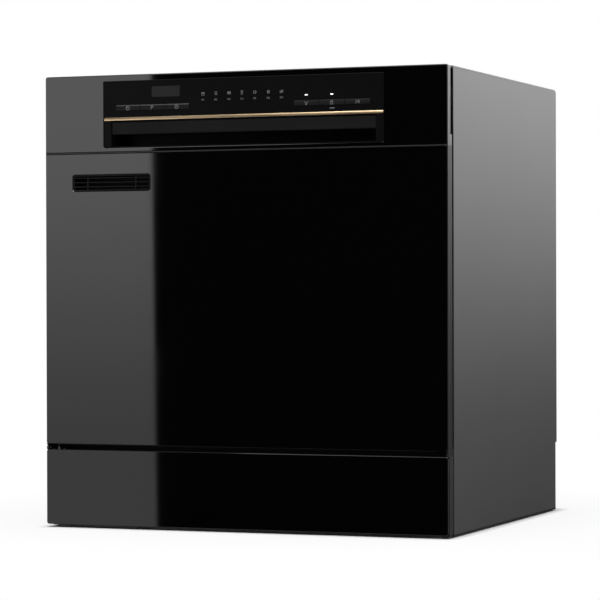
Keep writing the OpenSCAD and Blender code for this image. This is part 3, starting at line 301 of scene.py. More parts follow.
def wiped_gloss():
    """Gloss surfaces: faint wiping marks in the gloss and a hardly wavy surface."""
    graph, given, result = start_group("Wiped gloss", {
        "Color": ("Color", GREY), "Roughness": ("Float", 0.05), "Marks": ("Float", 0.3),
        "Wave Depth": ("Float", 0.000004)}, SURFACE)
    place = graph.add("TexCoord").outputs["Object"]
    inputs = {"Vector": place, "Scale": 6.0, "Distortion": 2.0, "Detail": 5.0}
    marks = graph.spread(graph.add("TexNoise", inputs).outputs["Fac"], 0.0, 1.0)
    more = graph.math("MULTIPLY_ADD", marks, given["Marks"])
    graph.feed(more.node.inputs[2], 1.0)
    graph.feed(result["Roughness"], graph.math("MULTIPLY", given["Roughness"], more))
    tone = graph.spread(graph.noise(3.0, place), 0.97, 1.03)
    graph.feed(result["Color"], graph.shade(given["Color"], tone))
    wave = graph.noise(5.0, place, 1.0)
    bump = graph.add("Bump", {"Height": wave, "Distance": given["Wave Depth"]})
    graph.feed(result["Normal"], bump.outputs["Normal"])
    return graph.tree


GROUPS = {
    "Moulded grain": moulded_grain,
    "Drawn sheet": drawn_sheet,
    "Sprayed flake": sprayed_flake,
    "Wiped gloss": wiped_gloss,
}


def effect_group(name):
    """The shared node group of that name, built the first time it is asked for."""
    return bpy.data.node_groups.get(name) or GROUPS[name]()


# Each finish is (colour, group, roughness, metallic, specular, the group's own values)
FINISHES = {
    "black_glass": ("glass", "Wiped gloss", 0.03, 0.0, 0.5, {"Marks": 0.5}),
    "front_frame_plastic": ("trim", "Sprayed flake", 0.38, 0.35, 0.5, {"Flake": 0.05}),
    "black_plastic": ("black", "Moulded grain", 0.48, 0.0, 0.4, {"Grain Depth": 0.00004}),
    "control_insert": ("insert", "Moulded grain", 0.34, 0.0, 0.03, {"Grain Depth": 0.00001}),
    "key_plastic": ("key", "Moulded grain", 0.36, 0.0, 0.08, {"Grain Depth": 0.00001}),
    # Painted highlight on the keys' top bevels: a lighter colour in place of the light's reflection
    "key_bevel_highlight": ("key_bevel_highlight", "Moulded grain", 0.40, 0.0, 0.3, {"Grain Depth": 0.00001}),
    "paddle_plastic": ("key", "Moulded grain", 0.44, 0.0, 0.03, {"Grain Depth": 0.00002}),
    # Painted shade: the zinc front frame in the slot under the door gets the dark kick colour
    "slot_painted_shade": ("kick", "Sprayed flake", 0.60, 0.0, 0.1, {"Flake": 0.05}),
    "vent_plastic": ("insert", "Moulded grain", 0.45, 0.0, 0.12, {"Grain Depth": 0.00002}),
    "kick_plastic": ("kick", "Sprayed flake", 0.44, 0.08, 0.3, {"Flake": 0.05}),
    "gold_trim": ("gold", "Drawn sheet", 0.30, 1.0, 0.5, {"Line Scale": (6.0, 900.0, 900.0)}),
    "display_lens": ("display", "Wiped gloss", 0.28, 0.0, 0.06, {}),
    "cabinet_paint": ("paint", "Sprayed flake", 0.36, 0.30, 0.5, {}),
    "top_paint": ("top", "Sprayed flake", 0.38, 0.20, 0.5, {}),
    "zinc_sheet": ("zinc", "Drawn sheet", 0.42, 1.0, 0.5, {"Cloud": 0.16}),
    "tub_steel": ("steel", "Drawn sheet", 0.24, 1.0, 0.5, {"Line Scale": (5.0, 5.0, 700.0)}),
    "hinge_steel": ("zinc", "Drawn sheet", 0.34, 1.0, 0.5, {}),
    "screw_steel": ("zinc", "Wiped gloss", 0.18, 1.0, 0.5, {}),
    "rubber": ("rubber", "Moulded grain", 0.70, 0.0, 0.3, {"Grain Depth": 0.00006}),
    "grey_rubber": ("rubber", "Moulded grain", 0.60, 0.0, 0.35, {"Mottle": 0.15}),
    "bitumen": ("black", "Moulded grain", 0.85, 0.0, 0.2,
                {"Grain Size": 260.0, "Grain Depth": 0.0004, "Mottle": 0.4}),
    "grey_plastic": ("grey", "Moulded grain", 0.42, 0.0, 0.45, {}),
    "light_plastic": ("pale", "Moulded grain", 0.40, 0.0, 0.45, {"Mottle": 0.04}),
    "white_plastic": ("white", "Moulded grain", 0.38, 0.0, 0.5, {"Mottle": 0.03}),
    "blue_plastic": ("blue", "Moulded grain", 0.35, 0.0, 0.5, {"Mottle": 0.05}),
    "filter_mesh": ("steel", "Drawn sheet", 0.35, 1.0, 0.5, {}),
    "motor_black": ("black", "Sprayed flake", 0.40, 0.1, 0.5, {}),
    "circuit_board": ("board", "Wiped gloss", 0.30, 0.0, 0.5, {}),
    "coated_wire": ("wire", "Moulded grain", 0.40, 0.0, 0.5, {"Grain Depth": 0.00001}),
    "spring_steel": ("zinc", "Wiped gloss", 0.22, 1.0, 0.5, {}),
    "symbol_print": ("print_white", "Moulded grain", 0.6, 0.0, 0.2, {"Grain Depth": 0.0}),
    "door_strip_plastic": ("strip", "Sprayed flake", 0.42, 0.08, 0.3, {"Flake": 0.05}),
}

# Finishes that aren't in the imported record, and the record's slot that each one stands for
RECORD_SLOT = {"symbol_print": "key_plastic", "key_bevel_highlight": "key_plastic",
               "paddle_plastic": "key_plastic", "slot_painted_shade": "zinc_sheet",
               "vent_plastic": "black_plastic", "kick_plastic": "front_frame_plastic",
               "door_strip_plastic": "front_frame_plastic"}


def new_material(name):
    """A node material, as (material, Principled shader's inputs, graph)."""
    material = bpy.data.materials.new(name)
    material.use_nodes = True
    tree = material.node_tree
    return material, tree.nodes["Principled BSDF"].inputs, Graph(tree)


def finish(name):
    """The material of a finish, built the first time it is asked for."""
    label = "look_" + name
    found = bpy.data.materials.get(label)
    if found:
        return found
    colour_name, group, roughness, metallic, specular, own = FINISHES[name]
    material, shader, graph = new_material(label)
    shader["Metallic"].default_value = metallic
    shader["Specular IOR Level"].default_value = specular
    tint = (*getattr(colours(), colour_name), 1.0)
    effect = graph.add("Group", node_tree=effect_group(group))
    for key, value in {"Color": tint, "Roughness": roughness, **own}.items():
        effect.inputs[key].default_value = value
    graph.feed(shader["Base Color"], effect.outputs["Color"])
    for socket in ("Roughness", "Normal"):
        graph.feed(shader[socket], effect.outputs[socket])
    return material


def glowing(name, tint, strength):
    """A lit lens: even light with a faint grain in its strength."""
    material, shader, graph = new_material(name)
    place = graph.add("TexCoord").outputs["Object"]
    tone = graph.spread(graph.noise(900.0, place), 0.92, 1.0)
    graph.feed(shader["Emission Color"], graph.shade(tint, tone))
    shader["Emission Strength"].default_value = strength
    shader["Base Color"].default_value = (*tint, 1.0)
    return material


# ---------------------------------------------------------------- mesh helpers

def rounded_points(width, height, radius, steps=6):
    """Points of a rounded rectangle about its middle, anticlockwise."""
    points = []
    for corner, (sx, sy) in enumerate(((1, 1), (-1, 1), (-1, -1), (1, -1))):
        for i in range(steps + 1):
            angle = (corner + i / steps) * math.pi / 2
            points.append((sx * (width / 2 - radius) + radius * math.cos(angle),
                           sy * (height / 2 - radius) + radius * math.sin(angle)))
    return points


def round_points(radius, count):
    """Points of a circle about its middle."""
    step = 2 * math.pi / count
    return [(radius * math.cos(i * step), radius * math.sin(i * step)) for i in range(count)]


def on_front(points, middle, depth):
    """Flat points stood up in the plane of the front, at a depth along Y."""
    return [Vector((middle[0] + x, depth, middle[1] + z)) for x, z in points]


def on_floor(points, middle, height):
    """Flat points laid level at a height."""
    return [Vector((middle[0] + x, middle[1] + y, height)) for x, y in points]


def on_side(points, middle, place):
    """Flat points stood up across the X axis at a place along X."""
    return [Vector((place, middle[0] + y, middle[1] + z)) for y, z in points]


def insetting(middle, width, height, corner, least=0.0, steps=6, stand=on_front):
    """A function that gives a rounded rectangle, drawn in by an inset, at a place.
    Its corner radius shrinks by the inset, down to a least one."""

    def loop(inset, place):
        radius = max(corner - inset, least)
        points = rounded_points(width - 2 * inset, height - 2 * inset, radius, steps)
        return stand(points, middle, place)

    return loop


def loft(bm, loops, closed_ends=True, ring=False):
    """Joins point loops of equal length into one skin, and returns the vertex loops."""
    rows = [[bm.verts.new(point) for point in loop] for loop in loops]
    pairs = list(zip(rows, rows[1:]))
    if ring:
        pairs.append((rows[-1], rows[0]))
    for a, b in pairs:
        for i in range(len(a)):
            j = (i + 1) % len(a)
            bm.faces.new((a[i], a[j], b[j], b[i]))
    if closed_ends and not ring:
        bm.faces.new(rows[0][::-1])
        bm.faces.new(rows[-1])
    return rows


def fill_between(bm, *rows):
    """Fills the flat area between an outer vertex loop and the loops inside it."""
    edges = []
    for row in rows:
        for a, b in zip(row, row[1:] + row[:1]):
            edges.append(bm.edges.get((a, b)) or bm.edges.new((a, b)))
    bmesh.ops.triangle_fill(bm, use_beauty=True, edges=edges)


def soft_box(bm, low, high, radius, segments=2):
    """A block from its lowest to its highest corner, with rounded edges."""
    low, high = Vector(low), Vector(high)
    size = high - low
    place = Matrix.Translation((low + high) / 2) @ Matrix.Diagonal((*size, 1.0))
    corners = bmesh.ops.create_cube(bm, size=1.0, matrix=place)["verts"]
    edges = list({edge for corner in corners for edge in corner.link_edges})
    limit = min(radius, min(size) * 0.45)
    bmesh.ops.bevel(bm, geom=edges, offset=limit, segments=segments, profile=0.5,
                    affect="EDGES", clamp_overlap=True)


def side_box(bm, side, low, high, radius, segments=2):
    """A rounded block on the right side, or its mirror image on the left."""
    x0, x1 = sorted((side * low[0], side * high[0]))
    soft_box(bm, (x0, *low[1:]), (x1, *high[1:]), radius, segments)


def extrude(bm, profile, *places):
    """A bar along X between places, with a cross-section of (y, z) points."""
    loft(bm, [[Vector((x, y, z)) for y, z in profile] for x in places])


def lathe(bm, profile, middle, axis="x", count=32):
    """Turns (place along the axis, radius) pairs about an axis through a point."""
    stand = {"x": on_side, "y": on_front, "z": on_floor}[axis]
    loops = [stand(round_points(max(radius, 1e-5), count), middle, along)
             for along, radius in profile]
    loft(bm, loops)


def filleted(points, radius, steps=4, closed=False):
    """A path whose corners are rounded with short curves."""
    points = [Vector(p) for p in points]
    count = len(points)
    path = []
    for i, here in enumerate(points):
        if not closed and i in (0, count - 1):
            path.append(here)
            continue
        back = points[i - 1] - here
        ahead = points[(i + 1) % count] - here
        reach = min(radius, back.length * 0.45, ahead.length * 0.45)
        start = here + back.normalized() * reach
        end = here + ahead.normalized() * reach
        for k in range(steps + 1):
            t = k / steps
            path.append(start * (1 - t) ** 2 + here * 2 * t * (1 - t) + end * t * t)
    return path


def sweep(bm, path, radius, sides=8, closed=False):
    """A round tube along a path."""
    count = len(path)
    loops = []
    side = None
    for i, here in enumerate(path):
        before = path[i - 1] if closed or i else here
        after = path[(i + 1) % count] if closed or i < count - 1 else here
        along = (after - before).normalized()
        if side is None:
            side = along.orthogonal().normalized()
        side = (side - along * side.dot(along)).normalized()
        other = along.cross(side)
        loops.append([here + side * x + other * y for x, y in round_points(radius, sides)])
    loft(bm, loops, ring=closed)


def stroke(bm, path, width, raised, closed=False):
    """A flat printed line along a path on the front: a thin raised ribbon."""
    path = [Vector(p) for p in path]
    count = len(path)
    front, back = [], []
    for i, here in enumerate(path):
        before = path[i - 1] if closed or i else here
        after = path[(i + 1) % count] if closed or i < count - 1 else here
        along = (after - before).normalized()
        across = Vector((-along.z, 0.0, along.x)) * width / 2
        lift = Vector((0.0, -raised, 0.0))
        front.append((here + across + lift, here - across + lift))
        back.append((here - across, here + across))
    loft(bm, [[*f, *b] for f, b in zip(front, back)], ring=closed)


def put(name, data):
    """An object of the scene that shows a mesh, a light or a camera."""
    made = bpy.data.objects.new(name, data)
    bpy.context.scene.collection.objects.link(made)
    return made


def finished_mesh(name, bm):
    """The smooth-shaded mesh of a mesh in progress, which ends here."""
    bmesh.ops.recalc_face_normals(bm, faces=bm.faces)
    mesh = bpy.data.meshes.new(name)
    bm.to_mesh(mesh)
    bm.free()
    mesh.shade_smooth()
    return mesh


def piece(name, bm, material, body, replaces=(), smooth=35.0, more=()):
    """Turns a mesh in progress into a named piece that rides on a CAD body.
    Edges sharper than smooth, in degrees, stay sharp."""
    mesh = finished_mesh(name, bm)
    mesh.set_sharp_from_angle(angle=math.radians(smooth))
    made = put(name, mesh)
    for slot_name in (material, *more):
        mesh.materials.append(finish(slot_name))
    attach(made, body)
    if replaces:
        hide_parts(*replaces)
    RECORD_SLOT.get(material, material)
    return made


def dress(node, material, edge=0.0):
    """Gives a CAD node its finish and rounds its edges a little."""
    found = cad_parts[node]
    found.data.materials.clear()
    found.data.materials.append(finish(material))
    RECORD_SLOT.get(material, material)
    if edge > 0.0:
        weld = found.modifiers.new("weld", "WELD")
        weld.merge_threshold = 0.00001
        bevel = found.modifiers.new("edges", "BEVEL")
        bevel.width = edge
        bevel.segments = 2
        bevel.limit_method = "ANGLE"
        bevel.angle_limit = math.radians(40.0)
        bevel.use_clamp_overlap = True
        bevel.harden_normals = True


def slab(low, high):
    """A box as seen from the front: middle (x, z), width, height."""
    return ((low.x + high.x) / 2, (low.z + high.z) / 2), high.x - low.x, high.z - low.z


def plan(low, high):
    """A box as seen from above: middle (x, y), width, depth."""
    return ((low.x + high.x) / 2, (low.y + high.y) / 2), high.x - low.x, high.y - low.y


def side_view(low, high):
    """A box as seen from the side: middle (y, z)."""
    return (low.y + high.y) / 2, (low.z + high.z) / 2


def mark_faces(mesh, index, test):
    """Gives the faces whose middle passes a test another of the mesh's materials."""
    for face in mesh.polygons:
        if test(face.center):
            face.material_index = index


def solidify(made, thickness, offset=-1.0):
    """Gives a skin its sheet thickness."""
    modifier = made.modifiers.new("sheet", "SOLIDIFY")
    modifier.thickness = thickness
    modifier.offset = offset
    modifier.use_even_offset = True


def even(first, last, count):
    """Evenly spaced places from a first to a last one."""
    return [first + (last - first) * i / (count - 1) for i in range(count)]


# ---------------------------------------------------------------- cabinet

# Hinge axis of the door, as (y, z)
HINGE = (-0.240, 0.116)
# Inner and outer x of the plugs in the slot under the door, and of the door's round ends in them
PLUG_X = (0.2724, 0.2744)
ROUND_END_X = (0.2726, 0.2743)
# Inner x of the pockets that the hinge brackets pass through
POCKET_X = 0.2597

CABINET_FINISH = {
    "base_tray": ("black_plastic", 0.6), "side_panel_left": ("cabinet_paint", 0.3),
    # The front frame carries painted shade: dark in place of its zinc, where the slot under the
    # door lies in shade
    "side_panel_right": ("cabinet_paint", 0.3), "front_frame": ("slot_painted_shade", 0.2),
    "kick_frame": ("kick_plastic", 0.4),
    "door_striker": ("hinge_steel", 0.3), "hinge_brackets": ("hinge_steel", 0.3),
}


def build_top_panel():
    """Top sheet whose edge rolls down to the side panels."""
    low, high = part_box("top_panel")
    edge, sheet = high.z - low.z, 1.0 * MM
    loop = insetting(*plan(low, high), edge, 0.4 * MM, stand=on_floor)
    bm = bmesh.new()
    loops = [loop(edge, high.z - sheet), loop(sheet, low.z + sheet), loop(sheet, low.z),
             loop(0, low.z)]
    for k in range(1, 7):
        angle = k / 6 * math.pi / 2
        loops.append(loop(edge * (1 - math.cos(angle)), low.z + edge * math.sin(angle)))
    loft(bm, loops)
    piece("top_sheet", bm, "top_paint", "cabinet", ["top_panel"])


def build_back_panel():
    """Zinc-plated sheet with three pressed fields."""
    low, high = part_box("back_panel")
    back, deep = high.y, 2.0 * MM
    middle, width, height = slab(low, high)
    loop = insetting(middle, width, height, 2 * MM, 1 * MM)
    wide, tall, corner, pitch = 92 * MM, height - 136 * MM, 14 * MM, 150 * MM
    bm = bmesh.new()
    rim = loft(bm, [loop(0, back), loop(1.2 * MM, back)], closed_ends=False)[1]
    rows = []
    for x in (-pitch, 0.0, pitch):
        field = [on_front(rounded_points(wide - 2 * inset * MM, tall - 2 * inset * MM, corner),
                          (x, middle[1]), back - sunk)
                 for inset, sunk in ((-1.0, 0), (0, 0), (2.5, deep), (3.5, deep))]
        rings = loft(bm, field, closed_ends=False)
        bm.faces.new(rings[-1])
        rows.append(rings[0])
    fill_between(bm, rim, *rows)
    made = piece("back_sheet", bm, "zinc_sheet", "cabinet", ["back_panel"], smooth=20)
    solidify(made, 0.9 * MM, 1.0)


def build_feet():
    """Four rubber feet with a softened sole."""
    low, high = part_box("rubber_feet")
    radius = 14 * MM
    bm = bmesh.new()
    for x in (low.x + radius, high.x - radius):
        for y in (low.y + radius, high.y - radius):
            profile = [(low.z, radius * 0.62), (low.z, radius * 0.9), (low.z + 0.5 * MM, radius),
                       (high.z - 0.3 * MM, radius), (high.z, radius * 0.97)]
            lathe(bm, profile, (x, y), "z", 40)
    piece("feet", bm, "rubber", "cabinet", ["rubber_feet"])


def build_kick_surround():
    """Black rim under the kick pane, and plugs in the ends of the slot under the door.
    The open door lies on the plugs' level front; behind it they clear the door's turning corner."""
    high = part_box("kick_frame")[1]
    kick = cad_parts["kick_frame"]
    kick.data.materials.append(finish("black_plastic"))
    rim_x, rim_z = high.x - 3.5 * MM, high.z - 1 * MM
    mark_faces(kick.data, 1, lambda c: abs(c.x) < rim_x and c.z < rim_z)
    hinge_y, hinge_z = HINGE
    reach, rest = 12.95 * MM, hinge_z - 10.4 * MM
    front, back = hinge_y - 9.5 * MM, hinge_y + 12.5 * MM
    profile = [(back, high.z), (front, high.z)]
    for y in even(front, back, 9):
        z = hinge_z - math.sqrt(reach ** 2 - (y - hinge_y) ** 2)
        profile.append((y, min(z, rest) if y < hinge_y else z))
    bm = bmesh.new()
    for side in (-1, 1):
        extrude(bm, profile, *sorted(side * x for x in PLUG_X))
    piece("slot_plugs", bm, "black_plastic", "cabinet")


def screw_head(bm, middle, face, radius, height, away=1.0):
    """A domed head on the plane of the back, with a cross recess."""
    rings = [(0.0, radius), (height * 0.45, radius), (height * 0.8, radius * 0.82),
             (height, radius * 0.5)]
    loops = [on_front(round_points(r, 24), middle, face + away * along) for along, r in rings]
    rows = loft(bm, loops, closed_ends=False)
    bm.faces.new(rows[0][::-1])
    arm, slot = radius * 0.42, radius * 0.11
    cross = [(slot, slot), (arm, slot), (arm, -slot), (slot, -slot), (slot, -arm), (-slot, -arm),
             (-slot, -slot), (-arm, -slot), (-arm, slot), (-slot, slot), (-slot, arm), (slot, arm)]
    top = face + away * height
    recess = loft(bm, [on_front(cross, middle, top),
                       on_front(cross, middle, top - away * height * 0.6)], closed_ends=False)
    bm.faces.new(recess[1])
    fill_between(bm, rows[-1], recess[0])


def build_screws():
    """Six screws that hold the back panel."""
    low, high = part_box("cabinet_screws")
    radius = 4 * MM
    bm = bmesh.new()
    for x in (low.x + radius, high.x - radius):
        for z in (low.z + radius, (low.z + high.z) / 2, high.z - radius):
            screw_head(bm, (x, z), low.y, radius, high.y - low.y)
    piece("screws", bm, "screw_steel", "cabinet", ["cabinet_screws"])


# ---------------------------------------------------------------- front panes and their frames

def pane(bm, low, high, radius, holes=()):
    """A chamfered plate on the front.
    Each hole is (lowest x, lowest z, highest x, highest z, radius)."""
    chamfer = sizes().glass_chamfer
    middle, width, height = slab(low, high)

    def ring_loops(width, height, radius, middle, grow):
        """Loops from the front face round the edge to the back face."""
        return [on_front(rounded_points(width + grow, height + grow, radius), middle, low.y),
                on_front(rounded_points(width, height, radius), middle, low.y + abs(grow) / 2),
                on_front(rounded_points(width, height, radius), middle, high.y)]

    rims = [loft(bm, ring_loops(width, height, radius, middle, -2 * chamfer), closed_ends=False)]
    for x0, z0, x1, z1, r in holes:
        centre = ((x0 + x1) / 2, (z0 + z1) / 2)
        edge = ring_loops(x1 - x0, z1 - z0, r, centre, 2 * chamfer)
        rims.append(loft(bm, edge, closed_ends=False))
    fill_between(bm, *(rows[0] for rows in rims))
    fill_between(bm, *(rows[-1] for rows in rims))


def front_pane(name, bm, edge, body, node):
    """A black pane whose left and right ends are covered by its frame's lip."""
    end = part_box(node)[1].x - 0.1 * MM
    made = piece(name, bm, "black_glass", body, [node], more=[edge])
    mark_faces(made.data, 1, lambda c: abs(c.x) > end)


def build_fascia_glass():
    """Fascia pane with the opening for the control insert."""
    low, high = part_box("fascia_glass")
    window = 383 * MM / 2
    bottom, top = high.z + 0.5 * MM - 94.2 * MM, high.z + 0.5 * MM - 8.4 * MM
    bm = bmesh.new()
    pane(bm, low, high, 3 * MM, [(-window, bottom, window, top, 2 * MM)])
    front_pane("fascia_pane", bm, "front_frame_plastic", "door", "fascia_glass")


def opening(node, margin, radius):
    """A pane's hole round a node, wider than it by a margin, with corners of a radius."""
    low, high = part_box(node)
    return low.x - margin[0], low.z - margin[1], high.x + margin[0], high.z + margin[1], radius


def build_door_glass():
    """Door pane with the opening for the vent."""
    low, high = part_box("door_glass")
    bm = bmesh.new()
    pane(bm, low, high, 3 * MM, [opening("vent_grille", (-3.7 * MM, -3.7 * MM), 4 * MM)])
    front_pane("door_pane", bm, "door_strip_plastic", "door", "door_glass")


def build_kick_glass():
    """Plain pane under the door."""
    low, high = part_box("kick_glass")
    bm = bmesh.new()
    pane(bm, low, high, 3 * MM)
    front_pane("kick_pane", bm, "kick_plastic", "cabinet", "kick_glass")


def slice_at(bm, place, axis):
    """Splits the faces that a plane through a point crosses."""
    bmesh.ops.bisect_plane(bm, geom=bm.verts[:] + bm.edges[:] + bm.faces[:], dist=1e-7,
                           plane_co=place, plane_no=axis)


def cut_pockets(bm, start, end, limit):
    """Opens the bottom bar on both sides, for the hinge brackets that the open door turns round."""
    for x in (-end, -start, start, end):
        slice_at(bm, (x, 0, 0), (1, 0, 0))
    gone = [face for face in bm.faces if start < abs(face.calc_center_median().x) < end
            and face.calc_center_median().z < limit]
    bmesh.ops.delete(bm, geom=gone, context="FACES")
    bmesh.ops.holes_fill(bm, edges=[e for e in bm.edges if e.is_boundary])


def build_door_frame():
    """Moulding round the fascia and door panes: silver strips beside the fascia, darker ones beside
    the door, a black web behind the panes, and round ends that turn in the plugs of the slot."""
    low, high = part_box("door_frame")
    wall = 2.5 * MM
    seam = high.z - 100 * MM
    step = seam + 14 * MM
    lip = low.y + 7 * MM
    rear = lip - 0.2 * MM
    shallow, deep = low.y + 12 * MM, high.y + 1.5 * MM
    left, right = low.x + wall, high.x - wall
    loop = insetting(*slab(low, high), 3 * MM, 0.6 * MM)
    bm = bmesh.new()
    loft(bm, [loop(wall, low.y + 1.5 * MM), loop(0.4 * MM, low.y + 0.05 * MM),
              loop(0, low.y + 0.4 * MM), loop(0, lip - 0.3 * MM), loop(0.3 * MM, lip),
              loop(wall, lip)], ring=True)
    edge = high.x - 0.5 * MM
    for side in (-1, 1):
        side_box(bm, side, (right, rear, low.z + 0.5 * MM), (edge, deep, step), 0.4 * MM)
        side_box(bm, side, (right, rear, step), (edge, shallow, high.z - 1.5 * MM), 0.4 * MM)
    soft_box(bm, (left, rear, low.z + 0.4 * MM), (right, high.y, low.z + wall), 0.4 * MM)
    soft_box(bm, (left, rear, high.z - wall), (right, shallow, high.z - 0.5 * MM), 0.4 * MM)
    soft_box(bm, (left, low.y - 1.5 * MM, seam - 0.8 * MM),
             (right, low.y + 1.4 * MM, seam + 0.8 * MM), 0.3 * MM)
    cut_pockets(bm, POCKET_X, right, low.z + 6 * MM)
    slice_at(bm, (0, 0, seam), (0, 0, 1))
    sheet_low = Vector((low.x + 1.5 * MM, low.y + 0.1 * MM, low.z + 1.5 * MM))
    sheet_high = Vector((high.x - 1.5 * MM, low.y + 1.5 * MM, high.z - 1.5 * MM))
    pane(bm, sheet_low, sheet_high, 2 * MM, [opening("control_panel", (2 * MM, 1 * MM), 2 * MM),
                                             opening("vent_grille", (1 * MM, 1 * MM), 2 * MM)])
    made = piece("door_moulding", bm, "front_frame_plastic", "door", ["door_frame"],
                 more=["door_strip_plastic", "black_plastic"])
    mark_faces(made.data, 1, lambda c: c.z < seam)
    mark_faces(made.data, 2, lambda c: abs(c.x) < right - 1 * MM)
    reach = 12.6 * MM
    angles = [math.radians(angle) for angle in even(215, 325, 17)]
    rim = [(HINGE[0] + reach * math.cos(a), HINGE[1] + reach * math.sin(a)) for a in angles]
    bm = bmesh.new()
    for side in (-1, 1):
        extrude(bm, rim, *sorted(side * x for x in ROUND_END_X))
    piece("hinge_ends", bm, "black_plastic", "door")


# ---------------------------------------------------------------- controls

# Symbols as lines between given points in a box one unit high.
# Each line is (whether it is closed, points).
GLYPHS = {
    "ring_bar": [(False, [(0.0, 0.55), (0.0, 0.05)]),
                 (False, [(0.22, 0.38), (0.40, 0.20), (0.46, -0.04), (0.38, -0.28), (0.20, -0.43),
                          (0.0, -0.48), (-0.20, -0.43), (-0.38, -0.28), (-0.46, -0.04),
                          (-0.40, 0.20), (-0.22, 0.38)])],
    "letter_p": [(False, [(-0.25, -0.5), (-0.25, 0.5), (0.12, 0.5), (0.28, 0.36), (0.28, 0.14),
                          (0.12, 0.0), (-0.22, 0.0)])],
    "clock": [(True, [(0.48, 0.0), (0.41, 0.24), (0.24, 0.41), (0.0, 0.48), (-0.24, 0.41),
                      (-0.41, 0.24), (-0.48, 0.0), (-0.41, -0.24), (-0.24, -0.41), (0.0, -0.48),
                      (0.24, -0.41), (0.41, -0.24)]),
              (False, [(0.0, 0.3), (0.0, -0.02), (0.22, -0.14)])],
    "drops": [(False, [(-0.4, 0.4), (-0.28, 0.0), (0.28, 0.0), (0.4, 0.4)]),
              (False, [(0.0, 0.0), (0.0, -0.42)]), (False, [(-0.25, -0.46), (0.25, -0.46)])],
    "lock": [(True, [(-0.36, -0.46), (0.36, -0.46), (0.36, 0.06), (-0.36, 0.06)]),
             (False, [(-0.22, 0.06), (-0.22, 0.3), (-0.1, 0.46), (0.1, 0.46), (0.22, 0.3),
                      (0.22, 0.06)])],
    "play_pause": [(True, [(-0.5, 0.42), (0.0, 0.0), (-0.5, -0.42)]),
                   (False, [(0.2, 0.42), (0.2, -0.42)]), (False, [(0.46, 0.42), (0.46, -0.42)])],
    "pot": [(True, [(-0.4, 0.1), (-0.34, -0.45), (0.34, -0.45), (0.4, 0.1)]),
            (False, [(-0.5, 0.22), (0.5, 0.22)]), (False, [(0.0, 0.22), (0.0, 0.42)])],
    "stack": [(False, [(-0.4, -0.35), (0.4, -0.35)]), (False, [(-0.4, 0.0), (0.4, 0.0)]),
              (False, [(-0.4, 0.35), (0.4, 0.35)])],
    "bars": [(False, [(-0.42, -0.4), (-0.42, 0.4)]), (False, [(-0.14, -0.4), (-0.14, 0.4)]),
             (False, [(0.14, -0.4), (0.14, 0.4)]), (False, [(0.42, -0.4), (0.42, 0.4)])],
    "goblet": [(True, [(-0.34, 0.45), (0.34, 0.45), (0.26, 0.1), (0.0, -0.1), (-0.26, 0.1)]),
               (False, [(0.0, -0.1), (0.0, -0.45)]), (False, [(-0.24, -0.45), (0.24, -0.45)])],
    "cup": [(True, [(-0.42, 0.3), (0.2, 0.3), (0.14, -0.4), (-0.34, -0.4)]),
            (False, [(0.2, 0.18), (0.44, 0.12), (0.4, -0.12), (0.16, -0.16)])],
    "round_cross": [(True, [(0.38, 0.0), (0.27, 0.27), (0.0, 0.38), (-0.27, 0.27), (-0.38, 0.0),
                            (-0.27, -0.27), (0.0, -0.38), (0.27, -0.27)]),
                    (False, [(-0.14, 0.0), (0.14, 0.0)]), (False, [(0.0, -0.14), (0.0, 0.14)])],
    "cup_bar": [(True, [(-0.45, 0.2), (0.05, 0.2), (0.0, -0.4), (-0.4, -0.4)]),
                (False, [(0.36, 0.45), (0.36, -0.4)])],
    "1": [(False, [(-0.15, 0.3), (0.05, 0.5), (0.05, -0.5)])],
    "2": [(False, [(-0.25, 0.35), (0.0, 0.5), (0.25, 0.3), (-0.25, -0.5), (0.28, -0.5)])],
    "3": [(False, [(-0.25, 0.5), (0.25, 0.5), (0.0, 0.08), (0.26, -0.2), (0.0, -0.5),
                   (-0.25, -0.4)])],
    "4": [(False, [(0.1, -0.5), (0.1, 0.5), (-0.3, -0.15), (0.3, -0.15)])],
    "5": [(False, [(0.25, 0.5), (-0.2, 0.5), (-0.22, 0.08), (0.2, 0.1), (0.25, -0.3),
                   (-0.25, -0.5)])],
    "6": [(False, [(0.2, 0.5), (-0.2, 0.1), (-0.22, -0.35), (0.0, -0.5), (0.24, -0.3), (0.0, 0.02),
                   (-0.2, -0.1)])],
    "7": [(False, [(-0.27, 0.5), (0.27, 0.5), (-0.05, -0.5)])],
}


def draw_glyph(bm, name, x, z, height, face, line):
    """Prints a symbol as raised ribbons on the front, at a height in metres."""
    for closed, points in GLYPHS[name]:
        path = [(x + a * height, face, z + b * height) for a, b in points]
        stroke(bm, path, line, 0.04 * MM, closed)


KEYS = {"power_key": "ring_bar", "program_key": "letter_p", "delay_key": "clock",
        "dry_key": "drops", "lock_key": "lock", "start_key": "play_pause"}


